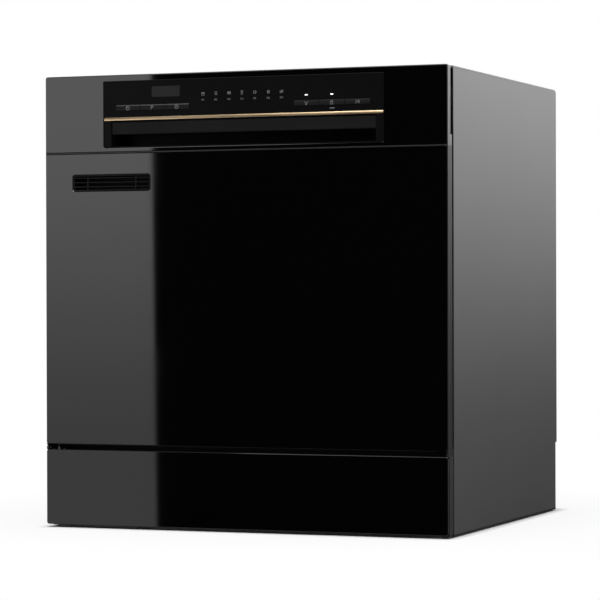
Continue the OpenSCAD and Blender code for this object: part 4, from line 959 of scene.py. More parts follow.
def build_keys():
    """Push keys with a bevel along the top that carries a painted highlight on the left three, and
    a printed symbol.
    """
    for node, glyph in KEYS.items():
        low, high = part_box(node)
        top, bottom = high.z - 2 * MM, low.z + 2 * MM
        neck = low.y + 5.7 * MM
        bm = bmesh.new()
        bevel_y, bevel_z = low.y + 1.7 * MM, top - 1.5 * MM
        profile = [(neck, bottom), (low.y + 0.5 * MM, bottom), (low.y, bottom + 0.5 * MM),
                   (low.y, bevel_z), (low.y + 0.5 * MM, top - 0.7 * MM), (bevel_y, top),
                   (neck, top)]
        middle = (bottom + top) / 2
        soft = 0.25 * MM
        loops = []
        for x, shrink in ((low.x, 0.3 * MM), (low.x + soft, 0.0), (high.x - soft, 0.0),
                          (high.x, 0.3 * MM)):
            loops.append([Vector((x, max(y, low.y + shrink), z - math.copysign(shrink, z - middle)))
                          for y, z in profile])
        loft(bm, loops)
        soft_box(bm, (low.x, neck, low.z), (high.x, neck + 1 * MM, high.z), 0.2 * MM, 1)
        centre = (low.x + high.x) / 2
        lathe(bm, [(neck + 1 * MM, 2 * MM), (high.y, 2 * MM)], (centre, middle), "y", 16)
        printed = len(bm.faces)
        draw_glyph(bm, glyph, centre, middle - 0.5 * MM, 5 * MM, low.y, sizes().line)
        for face in list(bm.faces)[printed:]:
            face.material_index = 1
        made = piece(node + "_cap", bm, "key_plastic", node, [node],
                     more=["symbol_print", "key_bevel_highlight"])
        # Only the left three keys get the painted highlight on their top bevel
        if low.x < 0:
            mark_faces(made.data, 2, lambda c: c.y < bevel_y and c.z > bevel_z)


# Printed programs of the insert with their x, and the heights of the symbols and their labels
PROGRAMS = {"pot": -0.0522, "stack": -0.0345, "bars": -0.0165, "goblet": 0.0013,
            "cup": 0.0189, "round_cross": 0.0372, "cup_bar": 0.0551}
PROGRAM_Z, LABEL_Z = 0.5575, 0.5495
# Middle x of the two lit marks, and their lowest and highest z
LIT_X, LIT_Z = (0.0885, 0.1228), (0.5512, 0.5527)
# Printed dash under a key, as its places along x and z
DASH_X, DASH_Z = (0.1196, 0.1260), (0.5342, 0.5350)


def build_insert():
    """Gold strip, display lens, lit marks and printed symbols on the control insert."""
    dress("control_panel", "control_insert", 0.4 * MM)
    dress("control_board", "circuit_board", 0.2 * MM)
    low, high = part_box("gold_strip")
    bm = bmesh.new()
    profile = [(high.y, low.z), (low.y + 0.1 * MM, low.z + 0.2 * MM), (low.y, low.z + 0.6 * MM),
               (high.y - 0.1 * MM, high.z - 0.15 * MM), (high.y, high.z)]
    extrude(bm, profile, low.x, high.x)
    piece("metal_strip", bm, "gold_trim", "door", ["gold_strip"])

    low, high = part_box("display_window")
    bm = bmesh.new()
    pane(bm, low, high, 0.8 * MM)
    piece("display_pane", bm, "display_lens", "door", ["display_window"])

    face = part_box("gold_strip")[1].y
    bm = bmesh.new()
    for x in LIT_X:
        soft_box(bm, (x - 2 * MM, face - 0.25 * MM, LIT_Z[0]),
                 (x + 2 * MM, face + 0.2 * MM, LIT_Z[1]), 0.3 * MM)
    lit = piece("lit_marks", bm, "symbol_print", "door")
    lit.data.materials[0] = glowing("lit_marks", (0.95, 0.97, 1.0), 0.55)

    bm = bmesh.new()
    line = sizes().line
    for number, (glyph, x) in enumerate(PROGRAMS.items(), start=1):
        draw_glyph(bm, glyph, x, PROGRAM_Z, 4.6 * MM, face, line)
        for name, place in (("letter_p", x - 1.1 * MM), (str(number), x + 1 * MM)):
            draw_glyph(bm, name, place, LABEL_Z, 2.3 * MM, face, line * 0.7)
    soft_box(bm, (DASH_X[0], face - 0.04 * MM, DASH_Z[0]), (DASH_X[1], face, DASH_Z[1]),
             0.02 * MM, 1)
    piece("printed_symbols", bm, "symbol_print", "door")


def build_paddle():
    """Release paddle: a bowed front skin with a rolled lower lip, on two pivot stubs."""
    low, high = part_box("handle_paddle")
    face, skin = low.y, 2.6 * MM
    ends = 2.2 * MM
    bm = bmesh.new()
    profile = [(face + 0.9 * MM, high.z), (face + 0.2 * MM, high.z - 1.4 * MM),
               (face + 0.5 * MM, high.z - 6 * MM), (face + 0.4 * MM, low.z + 3.4 * MM),
               (face, low.z + 2.2 * MM), (face + 0.1 * MM, low.z + 0.8 * MM),
               (face + 0.9 * MM, low.z), (face + 2.2 * MM, low.z + 0.2 * MM),
               (face + skin, low.z + 1.6 * MM), (face + skin, high.z - 5.6 * MM),
               (high.y - 0.4 * MM, high.z - 5.4 * MM), (high.y, high.z - 4.8 * MM),
               (high.y, high.z - 0.4 * MM), (high.y - 0.5 * MM, high.z)]
    extrude(bm, profile, low.x + ends, high.x - ends)
    pivot = (high.y - 2.5 * MM, high.z - 3 * MM)
    for x in (low.x, high.x - ends - 0.1 * MM):
        lathe(bm, [(x, 1.5 * MM), (x + ends + 0.1 * MM, 1.5 * MM)], pivot, "x", 20)
    piece("paddle", bm, "paddle_plastic", "handle_paddle", ["handle_paddle"], smooth=50)


def build_vent():
    """Vent insert: rounded border, three bowed louvres, upright ribs and the chamber behind."""
    low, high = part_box("vent_grille")
    reach = 4 * MM
    face, web = low.y, low.y + 5.1 * MM
    x0, x1, z0, z1 = low.x + reach, high.x - reach, low.z + reach, high.z - reach
    middle, width, height = slab(Vector((x0, 0, z0)), Vector((x1, 0, z1)))
    loop = insetting(middle, width, height, 3.7 * MM, 1.2 * MM)
    flange = rounded_points(width + 2 * reach, height + 2 * reach, 1.2 * MM)
    bm = bmesh.new()
    loft(bm, [loop(0, web), loop(0, face + 0.4 * MM), loop(0.4 * MM, face), loop(1.5 * MM, face),
              loop(2 * MM, face + 0.5 * MM), loop(2 * MM, web + 17 * MM)], closed_ends=False)
    rows = loft(bm, [on_front(flange, middle, web), on_front(flange, middle, high.y)],
                closed_ends=False)
    bm.faces.new(rows[1])
    back = loft(bm, [loop(2 * MM, high.y - 1.5 * MM)], closed_ends=False)[0]
    bm.faces.new(back)
    fill_between(bm, rows[0], loft(bm, [loop(0, web)], closed_ends=False)[0])
    border, slats = 2 * MM, 3
    pitch = (height - 2 * border) / slats
    for i in range(slats + 1):
        base = z0 + border + (i - 0.5) * pitch
        curve = [(face + 0.9 * MM, base + 0.1 * MM), (face + 1.0 * MM, base + 1.3 * MM),
                 (face + 3.0 * MM, base + 2.2 * MM), (face + 7 * MM, base + 3.4 * MM),
                 (face + 7 * MM, base + 2.2 * MM), (face + 3.0 * MM, base + 0.8 * MM)]
        curve = [(y, min(max(z, z0 + border), z1 - border)) for y, z in curve]
        if max(z for y, z in curve) - min(z for y, z in curve) < 1.5 * MM:
            continue
        extrude(bm, curve, x0 + border, x1 - border)
    for x in (x0 + 20 * MM, x0 + 88 * MM):
        soft_box(bm, (x, face + 0.7 * MM, z0 + border), (x + 2 * MM, face + 8 * MM, z1 - border),
                 0.3 * MM)
    piece("vent", bm, "vent_plastic", "door", ["vent_grille"], smooth=30)


# ---------------------------------------------------------------- inside of the door

def build_door_liner():
    """Stamped steel pan with rounded edges, a dished field and the dispenser's opening."""
    low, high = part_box("door_liner")
    top = high.z - 8.6 * MM
    loop = insetting((0.0, (low.z + top) / 2), high.x - low.x, top - low.z, 10 * MM, 3 * MM)
    bm = bmesh.new()
    bend = 3 * MM
    skin = [loop(0, low.y), loop(0, high.y - bend)]
    for k in range(1, 5):
        angle = k / 4 * math.pi / 2
        skin.append(loop(bend * (1 - math.cos(angle)), high.y - bend + bend * math.sin(angle)))
    outer = loft(bm, skin, closed_ends=False)[-1]
    field = high.y - 3 * MM
    dish = insetting((0.0, 0.295), 0.410, 0.270, 24 * MM)
    rows = loft(bm, [dish(0, high.y), dish(1.2 * MM, high.y - 0.6 * MM),
                     dish(5 * MM, field + 0.5 * MM), dish(6.5 * MM, field)], closed_ends=False)
    fill_between(bm, outer, rows[0])
    hole = insetting(*slab(*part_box("dispenser_body")), 0.0, 3 * MM)
    mouth = loft(bm, [hole(4 * MM, field), hole(4 * MM, field - 2 * MM)], closed_ends=False)
    fill_between(bm, rows[-1], mouth[0])
    made = piece("inner_door", bm, "tub_steel", "door", ["door_liner"], smooth=50)
    solidify(made, 0.7 * MM)
    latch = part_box("latch_hook")[0]
    bm = bmesh.new()
    for side in (-1, 1):
        side_box(bm, side, (10.5 * MM, latch.y - 1.6 * MM, top - 1 * MM),
                 (12 * MM, latch.y + 10.4 * MM, high.z), 0.5 * MM)
    piece("latch_ears", bm, "tub_steel", "door")


def grip_cap(bm, middle, base, face, radius, axis, bar, flutes=18):
    """A round cap with a fluted edge and a grip bar. base and face are places along the axis."""
    stand = {"y": on_front, "z": on_floor}[axis]
    rise = face - base

    def fluted(r, depth):
        points = []
        for i in range(flutes * 6):
            angle = 2 * math.pi * i / (flutes * 6)
            reach = r - depth * (0.5 + 0.5 * math.cos(angle * flutes)) ** 3
            points.append((reach * math.cos(angle), reach * math.sin(angle)))
        return points

    notch = radius * 0.04
    loops = [stand(fluted(radius * 0.99, notch), middle, base),
             stand(fluted(radius, notch), middle, base + rise * 0.12),
             stand(fluted(radius, notch), middle, base + rise * 0.7),
             stand(fluted(radius * 0.97, notch * 0.5), middle, base + rise * 0.93),
             stand(fluted(radius * 0.93, 0.0), middle, face),
             stand(fluted(radius * 0.8, 0.0), middle, face - rise * 0.12)]
    loft(bm, loops)
    long, tall = bar
    half = 2.2 * MM if axis == "y" else 3 * MM
    low = (middle[0] - long, face - rise * 0.4, middle[1] - half)
    high = (middle[0] + long, face + tall, middle[1] + half)
    if axis == "z":
        low = (middle[0] - long, middle[1] - half, face - rise * 0.4)
        high = (middle[0] + long, middle[1] + half, face + tall)
    soft_box(bm, low, high, 1.4 * MM, 3)


def build_dispenser():
    """Dispenser with a ribbed, hinged lid and the rinse aid's grip cap."""
    dress("dispenser_body", "grey_plastic", 0.8 * MM)
    dress("latch_hook", "white_plastic", 0.3 * MM)
    dress("hinge_arms", "hinge_steel", 0.3 * MM)
    dress("door_insulation", "bitumen", 0.5 * MM)
    low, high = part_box("dispenser_lid")
    plate = high.y - 2.5 * MM
    rim = insetting(*slab(low, high), 3 * MM)
    dip = insetting(*slab(low, high), 0.0, 4 * MM)
    bm = bmesh.new()
    loft(bm, [rim(0.4 * MM, low.y), rim(0, low.y + 0.4 * MM), rim(0, plate - 0.7 * MM),
              rim(0.25 * MM, plate - 0.2 * MM), rim(0.8 * MM, plate), dip(7 * MM, plate),
              dip(8 * MM, plate - 0.5 * MM)])
    for k in range(4):
        z = high.z - 16 * MM + k * 1.4 * MM
        soft_box(bm, (low.x + 12 * MM, plate - 0.8 * MM, z),
                 (high.x - 12 * MM, high.y - k * 0.5 * MM, z + 1.1 * MM), 0.4 * MM)
    piece("soap_lid", bm, "light_plastic", "dispenser_lid", ["dispenser_lid"])

    low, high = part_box("rinse_cap")
    centre = slab(low, high)[0]
    seat = high.y - 7 * MM
    bm = bmesh.new()
    grip_cap(bm, centre, seat, seat + 4 * MM, 19 * MM, "y", (14 * MM, 3 * MM))
    lathe(bm, [(low.y, 14.6 * MM), (low.y + 1 * MM, 15.6 * MM), (seat + 0.5 * MM, 15.6 * MM)],
          centre, "y", 40)
    piece("rinse_aid_cap", bm, "blue_plastic", "rinse_cap", ["rinse_cap"])


# ---------------------------------------------------------------- wash chamber

# Height of the tub's floor
TUB_FLOOR = 0.127

TUB_FINISH = {
    "sump": ("black_plastic", 0.5), "fine_filter": ("filter_mesh", 0.15),
    "rear_duct": ("grey_plastic", 0.6), "filter_cup": ("grey_plastic", 0.5),
    "water_softener": ("light_plastic", 1.0),
}


def build_tub():
    """Steel tub with rounded edges, a pressed rear wall, runner ledges and roller studs."""
    low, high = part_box("tub")
    front, back = low.y + 0.6 * MM, high.y - 1 * MM
    half = high.x - 9 * MM
    floor, roof = TUB_FLOOR, high.z - 13 * MM
    steps, rear = 6, 14 * MM
    loop = insetting((0.0, (floor + roof) / 2), 2 * half, roof - floor, 18 * MM, 2 * MM, steps)
    lip = insetting(*slab(low, high), 12 * MM, 0.0, steps)
    bm = bmesh.new()
    loft(bm, [lip(0, front), loop(-2.5 * MM, front), loop(-1.0 * MM, front + 0.7 * MM),
              loop(0, front + 2.5 * MM)], closed_ends=False)
    rows = [[bm.verts.new(p) for p in loop(0, y)] for y in (front + 2.5 * MM, back - rear)]
    count = len(rows[0])
    right = 3 * (steps + 1)
    left = right - 1
    for i in range(count):
        j = (i + 1) % count
        if i != left:
            bm.faces.new((rows[0][i], rows[0][j], rows[1][j], rows[1][i]))
    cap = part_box("salt_cap")[0]
    holes = [((0.0, 0.0), 72 * MM), ((cap.x + 34 * MM, cap.y + 34 * MM), 31 * MM),
             ((0.0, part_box("rear_duct")[1].y - 6 * MM), 9.3 * MM)]
    cuts = []
    for middle, radius in holes:
        ring = round_points(radius, 48)
        walls = [on_floor(ring, middle, z) for z in (floor, floor - 2 * MM)]
        cuts.append(loft(bm, walls, closed_ends=False)[0])
    border = [rows[0][left], rows[0][right], rows[1][right], rows[1][left]]
    fill_between(bm, border, *cuts)
    bulge = []
    for k in range(7):
        angle = k / 6 * math.pi / 2
        bulge.append(loop(rear * (1 - math.cos(angle)), back - rear + rear * math.sin(angle)))
    bulge += [loop(50 * MM, back), loop(54 * MM, back - 2.5 * MM)]
    caps = loft(bm, bulge, closed_ends=False)
    bm.faces.new(caps[-1])
    bmesh.ops.remove_doubles(bm, verts=bm.verts, dist=1e-6)
    made = piece("tub_shell", bm, "tub_steel", "cabinet", ["tub"], smooth=50)
    solidify(made, 0.8 * MM, 1.0)
    bm = bmesh.new()
    ledge_top = 149.7 * MM
    for side in (-1, 1):
        side_box(bm, side, (half - 14 * MM, low.y + 14 * MM, floor - 0.3 * MM),
                 (half + 0.3 * MM, back - 9 * MM, ledge_top), 3.5 * MM, 3)
        for node in ("front_rollers", "rear_rollers"):
            wheel_low, wheel_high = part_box(node)
            tip = wheel_high.x - 6.4 * MM
            profile = [(tip, 2.4 * MM), (tip + 0.4 * MM, 3 * MM), (half - 1.5 * MM, 3 * MM),
                       (half - 1.5 * MM, 5 * MM), (half - 0.2 * MM, 6 * MM),
                       (half + 0.2 * MM, 6 * MM)]
            middle = side_view(wheel_low, wheel_high)
            lathe(bm, [(side * x, r) for x, r in profile], middle, "x", 24)
    piece("tub_runners", bm, "tub_steel", "cabinet")


def build_gasket():
    """Door seal: a hollow-looking bulb along the tub's mouth."""
    low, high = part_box("tub_gasket")
    band = high.x - 253 * MM
    loop = insetting(*slab(low, high), 12 * MM, 2 * MM, 8)
    profile = [(0.05, high.y), (0.0, low.y + 2.4 * MM), (0.14, low.y + 1.0 * MM), (0.38, low.y),
               (0.62, low.y + 0.2 * MM), (0.88, low.y + 1.4 * MM), (1.0, low.y + 3 * MM),
               (0.95, high.y)]
    bm = bmesh.new()
    loft(bm, [loop(across * band, y) for across, y in profile], ring=True)
    piece("door_seal", bm, "grey_rubber", "cabinet", ["tub_gasket"], smooth=60)


def build_salt_cap():
    """Grip cap of the salt container, in the tub's floor."""
    low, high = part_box("salt_cap")
    centre = plan(low, high)[0]
    seat = high.z - 9 * MM
    bm = bmesh.new()
    grip_cap(bm, centre, seat, seat + 5 * MM, 34 * MM, "z", (24 * MM, 4 * MM), 30)
    lathe(bm, [(low.z, 25 * MM), (low.z + 1 * MM, 26.6 * MM), (seat + 0.5 * MM, 26.6 * MM)],
          centre, "z", 48)
    piece("salt_lid", bm, "grey_plastic", "salt_cap", ["salt_cap"])


def build_spray_arms():
    """Two-bladed arms: hollow-looking blades, a hub with a collar, and slotted jets."""
    for node in ("lower_spray_arm", "upper_spray_arm"):
        z0, thick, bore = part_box(node)[0].z, 11 * MM, 7.1 * MM
        bm = bmesh.new()
        top = z0 + thick
        hub = [(z0, bore), (z0, 21 * MM), (z0 + 1.5 * MM, 24 * MM), (top - 2.5 * MM, 24 * MM),
               (top - 0.8 * MM, 22.4 * MM), (top, 19 * MM), (top, 12 * MM),
               (top - 0.8 * MM, 11 * MM), (top - 0.8 * MM, bore)]
        loft(bm, [on_floor(round_points(r, 48), (0, 0), z) for z, r in hub], ring=True)
        for side in (-1, 1):
            stations = []
            for x, wide, tall in ((16, 33, 8.6), (60, 31, 8.4), (120, 27, 7.4), (165, 23.5, 6.6),
                                  (176, 21, 6.0), (182, 15, 4.6), (184.8, 7, 2.6)):
                middle = (0.0, z0 + 5.5 * MM)
                shape = rounded_points(wide * MM, tall * MM, tall * MM * 0.42, 5)
                stations.append(on_side(shape, middle, side * x * MM))
            loft(bm, stations)
            for x in range(60, 173, 28):
                skin = 5.5 + (8.4 - (x - 60) * 0.017) / 2
                middle = (side * x * MM, side * 4 * MM)
                nozzle = []
                for wide, deep, rise in ((9, 6.4, -0.8), (8, 5.4, 0.5), (7, 4.4, 0.9),
                                         (4.6, 1.6, 0.9), (4.2, 1.3, -0.2)):
                    shape = rounded_points(wide * MM, deep * MM, 1.1 * MM * wide / 8, 4)
                    nozzle.append(on_floor(shape, middle, z0 + (skin + rise) * MM))
                loft(bm, nozzle)
        piece(node + "_blades", bm, "grey_plastic", node, [node], smooth=45)


# ---------------------------------------------------------------- racks

def hoop(bm, half, front, back, height, radius, corner):
    """A closed wire round a rack, level and with round corners."""
    points = [(half, front, height), (half, back, height), (-half, back, height),
              (-half, front, height)]
    sweep(bm, filleted(points, corner, 6, closed=True), radius, 10, closed=True)


def build_lower_rack():
    """Bent and welded wires: long ones under a slope, cross wires below them, hoops and tines."""
    low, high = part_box("lower_rack")
    wheel_low, wheel_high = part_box("lower_front_wheels")
    wire, rim, bend = sizes().wire_radius, sizes().rim_radius, sizes().bend_radius
    front, back, top = low.y + rim, high.y - rim, high.z - rim
    half = high.x - 17 * MM
    wheel_z = (wheel_low.z + wheel_high.z) / 2
    base = wheel_z + 1 * MM
    slope, corner, weld = 40 * MM, 25 * MM, 3.4 * MM
    knee = base + slope
    bm = bmesh.new()
    for x in even(-half, half, 12):
        x = max(min(x, half - corner + weld), -half + corner - weld)
        path = [(x, front, top), (x, front, knee), (x, front + slope, base), (x, back, base),
                (x, back, top)]
        sweep(bm, filleted(path, bend), wire, 8)
    under = base - 1.7 * wire
    for y in even(front + slope, back, 7):
        y = min(y, back - corner + weld)
        path = [(-half, y, top), (-half, y, under), (half, y, under), (half, y, top)]
        sweep(bm, filleted(path, bend), wire, 8)
    for height, radius in ((top, rim), (knee + 30 * MM, wire), (knee - 4 * MM, wire)):
        hoop(bm, half + weld, front - weld, back + weld, height, radius, corner)
    for x in (-0.150, -0.060):
        foot = base + 1.7 * wire
        sweep(bm, [Vector((x, front + slope, foot)), Vector((x, back - 4 * MM, foot))], wire, 8)
        for y in even(front + slope + 18 * MM, back - 18 * MM, 9):
            tip = base + 58 * MM
            stations = ((foot, wire), (tip - wire, wire), (tip - 0.3 * wire, 0.6 * wire))
            loft(bm, [on_floor(round_points(r, 8), (x, y), z) for z, r in stations])
    piece("lower_rack_wires", bm, "coated_wire", "lower_rack", ["lower_rack"], smooth=50)
    inner, outer = wheel_high.x - 7.4 * MM, wheel_high.x + 0.4 * MM
    profile = [(half - 3 * MM, 6.5), (half + 2 * MM, 6.5), (inner, 5.0), (inner, 3.0), (outer, 3.0),
               (outer, 4.8), (outer + 1 * MM, 4.8), (outer + 1.6 * MM, 3.6)]
    bm = bmesh.new()
    for side in (-1, 1):
        for y in (-0.110, 0.110):
            lathe(bm, [(side * x, r * MM) for x, r in profile], (y, wheel_z), "x", 28)
            side_box(bm, side, (half - 4.5 * MM, y - 11 * MM, wheel_z - 8 * MM),
                     (half + 2.5 * MM, y + 11 * MM, wheel_z + 9 * MM), 2 * MM, 3)
    piece("wheel_carriers", bm, "light_plastic", "lower_rack")


def build_upper_rack():
    """Bent and welded wires with hangers for the rails, and the feed for the upper spray arm."""
    low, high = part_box("upper_rack")
    rail_low, rail_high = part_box("upper_rails")
    wire, rim, bend = sizes().wire_radius, sizes().rim_radius, sizes().bend_radius
    front, back, top = low.y + rim, rail_high.y, high.z - rim
    half = rail_high.x - 15 * MM
    base = top - 75 * MM
    corner, weld = 25 * MM, 3.4 * MM
    rail_z = (rail_low.z + rail_high.z) / 2
    bm = bmesh.new()
    for x in even(-half, half, 12):
        x = max(min(x, half - corner + weld), -half + corner - weld)
        path = [(x, front, top), (x, front, base), (x, back, base), (x, back, top)]
        sweep(bm, filleted(path, bend), wire, 8)
    over = base + 1.7 * wire
    for y in even(front, back, 7):
        y = max(min(y, back - corner + weld), front + corner - weld)
        path = [(-half, y, top), (-half, y, over), (half, y, over), (half, y, top)]
        sweep(bm, filleted(path, bend), wire, 8)
    for height, radius in ((top, rim), (base + 38 * MM, wire)):
        hoop(bm, half + weld, front - weld, back + weld, height, radius, corner)
    piece("upper_rack_wires", bm, "coated_wire", "upper_rack", ["upper_rack"], smooth=50)

    inner = rail_high.x - 9.5 * MM
    bm = bmesh.new()
    for side in (-1, 1):
        for y in (front + 40 * MM, 0.0, back - 40 * MM):
            side_box(bm, side, (half - 3.5 * MM, y - 10 * MM, rail_z - 9 * MM),
                     (half + 1.5 * MM, y + 10 * MM, rail_z + 9 * MM), 2 * MM, 3)
            side_box(bm, side, (half, y - 8 * MM, rail_z - 6 * MM),
                     (inner + 0.2 * MM, y + 8 * MM, rail_z + 6 * MM), 1 * MM)
    piece("rail_hangers", bm, "grey_plastic", "upper_rack")

    feed_z = base - 17 * MM
    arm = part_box("upper_spray_arm")[0].z
    bore, boss = 7 * MM, 15 * MM
    collar, hub = arm - 3 * MM, arm + 11.4 * MM
    bm = bmesh.new()
    lathe(bm, [(collar, 9.6 * MM), (collar + 0.5 * MM, 11 * MM), (arm - 0.9 * MM, 11 * MM),
               (arm - 0.4 * MM, 10.4 * MM), (arm - 0.4 * MM, bore), (hub, bore),
               (hub, boss - 1 * MM), (hub + 1 * MM, boss), (base - 6 * MM, boss),
               (base - 4 * MM, boss - 1.5 * MM), (base - wire, boss - 1.5 * MM)],
          (0.0, 0.0), "z", 48)
    end, pipe, band = high.y, 9 * MM, 9.8 * MM
    lathe(bm, [(-2 * MM, 6 * MM), (0.0, pipe), (60 * MM, pipe), (60.5 * MM, band), (63 * MM, band),
               (63.5 * MM, pipe), (122 * MM, pipe), (122.5 * MM, band), (125 * MM, band),
               (125.5 * MM, pipe), (end - 12 * MM, pipe), (end - 9 * MM, 9.9 * MM),
               (end - 0.5 * MM, 9.9 * MM), (end, 9.3 * MM), (end, 7.6 * MM),
               (end - 12 * MM, 7.2 * MM)], (0.0, feed_z), "y", 40)
    under = base - wire
    for y0, y1, foot in ((-7 * MM, 7 * MM, under - 3.3 * MM),
                         (back - 3 * MM, back + 3 * MM, feed_z)):
        soft_box(bm, (-22 * MM, y0, foot), (22 * MM, y1, under - 0.3 * MM), 1.2 * MM)
    for x in (-17 * MM, 17 * MM):
        for y0, y1 in ((back - 5 * MM, back + 4 * MM), (-6 * MM, 6 * MM)):
            soft_box(bm, (x - 4 * MM, y0, base - 3 * MM), (x + 4 * MM, y1, base + 4 * MM), 1 * MM)
    piece("feed_pipe", bm, "grey_plastic", "upper_rack")
    dress("upper_rails", "zinc_sheet", 0.2 * MM)


def wheel(bm, x0, x1, middle, radius, bore, side):
    """A moulded wheel: hub and tread joined by a thinner web."""
    width = x1 - x0
    tread = radius * 0.80
    hub = bore + 2.6 * MM
    dip = width * 0.24
    profile = [(x0, bore), (x0, hub - 0.5 * MM), (x0 + 0.4 * MM, hub), (x0 + dip, hub + 0.3 * MM),
               (x0 + dip, tread - 0.3 * MM), (x0 + 0.4 * MM, tread), (x0, tread + 0.5 * MM),
               (x0, radius - 0.8 * MM), (x0 + 0.5 * MM, radius - 0.15 * MM),
               (x0 + width * 0.5, radius)]
    profile += [(x0 + x1 - x, r) for x, r in profile[-2::-1]]
    loops = [on_side(round_points(r, 48), middle, side * x) for x, r in profile]
    loft(bm, loops, ring=True)


def build_wheels():
    """The lower rack's wheels and the rollers that carry the upper rack."""
    for node, name, width in (("lower_front_wheels", "front_wheels", 7 * MM),
                              ("lower_rear_wheels", "rear_wheels", 7 * MM),
                              ("front_rollers", "tub_rollers_front", 6 * MM),
                              ("rear_rollers", "tub_rollers_rear", 6 * MM)):
        low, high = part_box(node)
        radius = (high.z - low.z) / 2
        middle = side_view(low, high)
        hub, tread = 5.6 * MM, radius * 0.8
        reach = (tread + hub) / 2
        rib = Matrix.Diagonal((width * 0.8, tread - hub + 0.4 * MM, 1.2 * MM, 1.0))
        bm = bmesh.new()
        for side in (-1, 1):
            wheel(bm, high.x - width, high.x, middle, radius, 3.05 * MM, side)
            for k in range(5):
                angle = 2 * math.pi * k / 5
                place = Matrix.Translation((side * (high.x - width / 2),
                                            middle[0] + reach * math.cos(angle),
                                            middle[1] + reach * math.sin(angle)))
                bmesh.ops.create_cube(bm, size=1.0,
                                      matrix=place @ Matrix.Rotation(angle, 4, "X") @ rib)
        piece(name, bm, "light_plastic", node, [node])


def build_cutlery_basket():
    """Slotted basket with a grid floor, two cross walls, a long wall and a bowed handle."""
    low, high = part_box("cutlery_basket")
    top = high.z - 28 * MM
    wall, bar, pitch, corner = 2 * MM, 2.2 * MM, 6.4 * MM, 6 * MM
    middle, width, depth = plan(low, high)
    loop = insetting(middle, width, depth, corner, steps=5, stand=on_floor)
    bm = bmesh.new()
    for z0, z1, soft in ((low.z, low.z + 9 * MM, 0.5 * MM),
                         (low.z + 46 * MM, low.z + 51 * MM, 0.5 * MM),
                         (top - 8 * MM, top, 0.9 * MM)):
        loft(bm, [loop(wall, z0), loop(soft, z0), loop(0, z0 + soft), loop(0, z1 - soft),
                  loop(soft, z1), loop(wall, z1)], ring=True)
    inset, thick = 0.3 * MM, 1.4 * MM
    z0, z1 = low.z + 8 * MM, top - 7 * MM
    for side_y in (low.y + inset, high.y - inset - thick):
        count = round((width - 2 * corner) / pitch)
        for x in even(low.x + corner, high.x - corner, count):
            block(bm, (x - bar / 2, side_y, z0), (x + bar / 2, side_y + thick, z1))
    for side_x in (low.x + inset, high.x - inset - thick):
        count = round((depth - 2 * corner) / pitch)
        for y in even(low.y + corner, high.y - corner, count):
            block(bm, (side_x, y - bar / 2, z0), (side_x + thick, y + bar / 2, z1))
    floor, thin = low.z + 0.4 * MM, 0.8 * MM
    x0, x1, y0, y1 = low.x + wall, high.x - wall, low.y + wall, high.y - wall
    for x in even(x0, x1, 25)[1:-1]:
        block(bm, (x - thin, y0, floor), (x + thin, y1, floor + 1.6 * MM))
    for y in even(y0, y1, 12)[1:-1]:
        block(bm, (x0, y - thin, floor), (x1, y + thin, floor + 1.8 * MM))
    cell = (width - 4 * wall) / 3
    for k in (1, 2):
        x = x0 + k * cell + (k - 1) * wall
        ladder(bm, (x, y0), (x + wall, y1), floor, top)
    x, y = middle
    ladder(bm, (x0, y - wall / 2), (x1, y + wall / 2), floor, top)
    grip, foot, reach = high.z - 4 * MM, top - 20 * MM, 30 * MM
    path = [(x - reach, y, foot), (x - reach, y, grip), (x + reach, y, grip), (x + reach, y, foot)]
    sweep(bm, filleted(path, 16 * MM, 6), 3 * MM, 12)
    soft_box(bm, (x - 22 * MM, y - 5 * MM, high.z - 7.5 * MM), (x + 22 * MM, y + 5 * MM, high.z),
             3 * MM, 3)
    piece("cutlery_cells", bm, "grey_plastic", "lower_rack", ["cutlery_basket"], smooth=40)


def block(bm, low, high):
    """A plain bar of a larger piece, from its lowest to its highest corner."""
    low, high = Vector(low), Vector(high)
    place = Matrix.Translation((low + high) / 2) @ Matrix.Diagonal((*(high - low), 1.0))
    bmesh.ops.create_cube(bm, size=1.0, matrix=place)


def ladder(bm, low, high, floor, top):
    """A dividing wall of the basket: bars between a foot band and a top band."""
    along_x = high[0] - low[0] > high[1] - low[1]
    long = (high[0] - low[0]) if along_x else (high[1] - low[1])
    for z0, z1 in ((floor, floor + 8 * MM), (top - 9 * MM, top - 1 * MM)):
        block(bm, (*low, z0), (*high, z1))
    for t in even(0.0, long, max(3, round(long / (8 * MM))))[1:-1]:
        if along_x:
            block(bm, (low[0] + t - 1 * MM, low[1] + 0.3 * MM, floor + 7 * MM),
                  (low[0] + t + 1 * MM, high[1] - 0.3 * MM, top - 8 * MM))
        else:
            block(bm, (low[0] + 0.3 * MM, low[1] + t - 1 * MM, floor + 7 * MM),
                  (high[0] - 0.3 * MM, low[1] + t + 1 * MM, top - 8 * MM))


# ---------------------------------------------------------------- base machinery

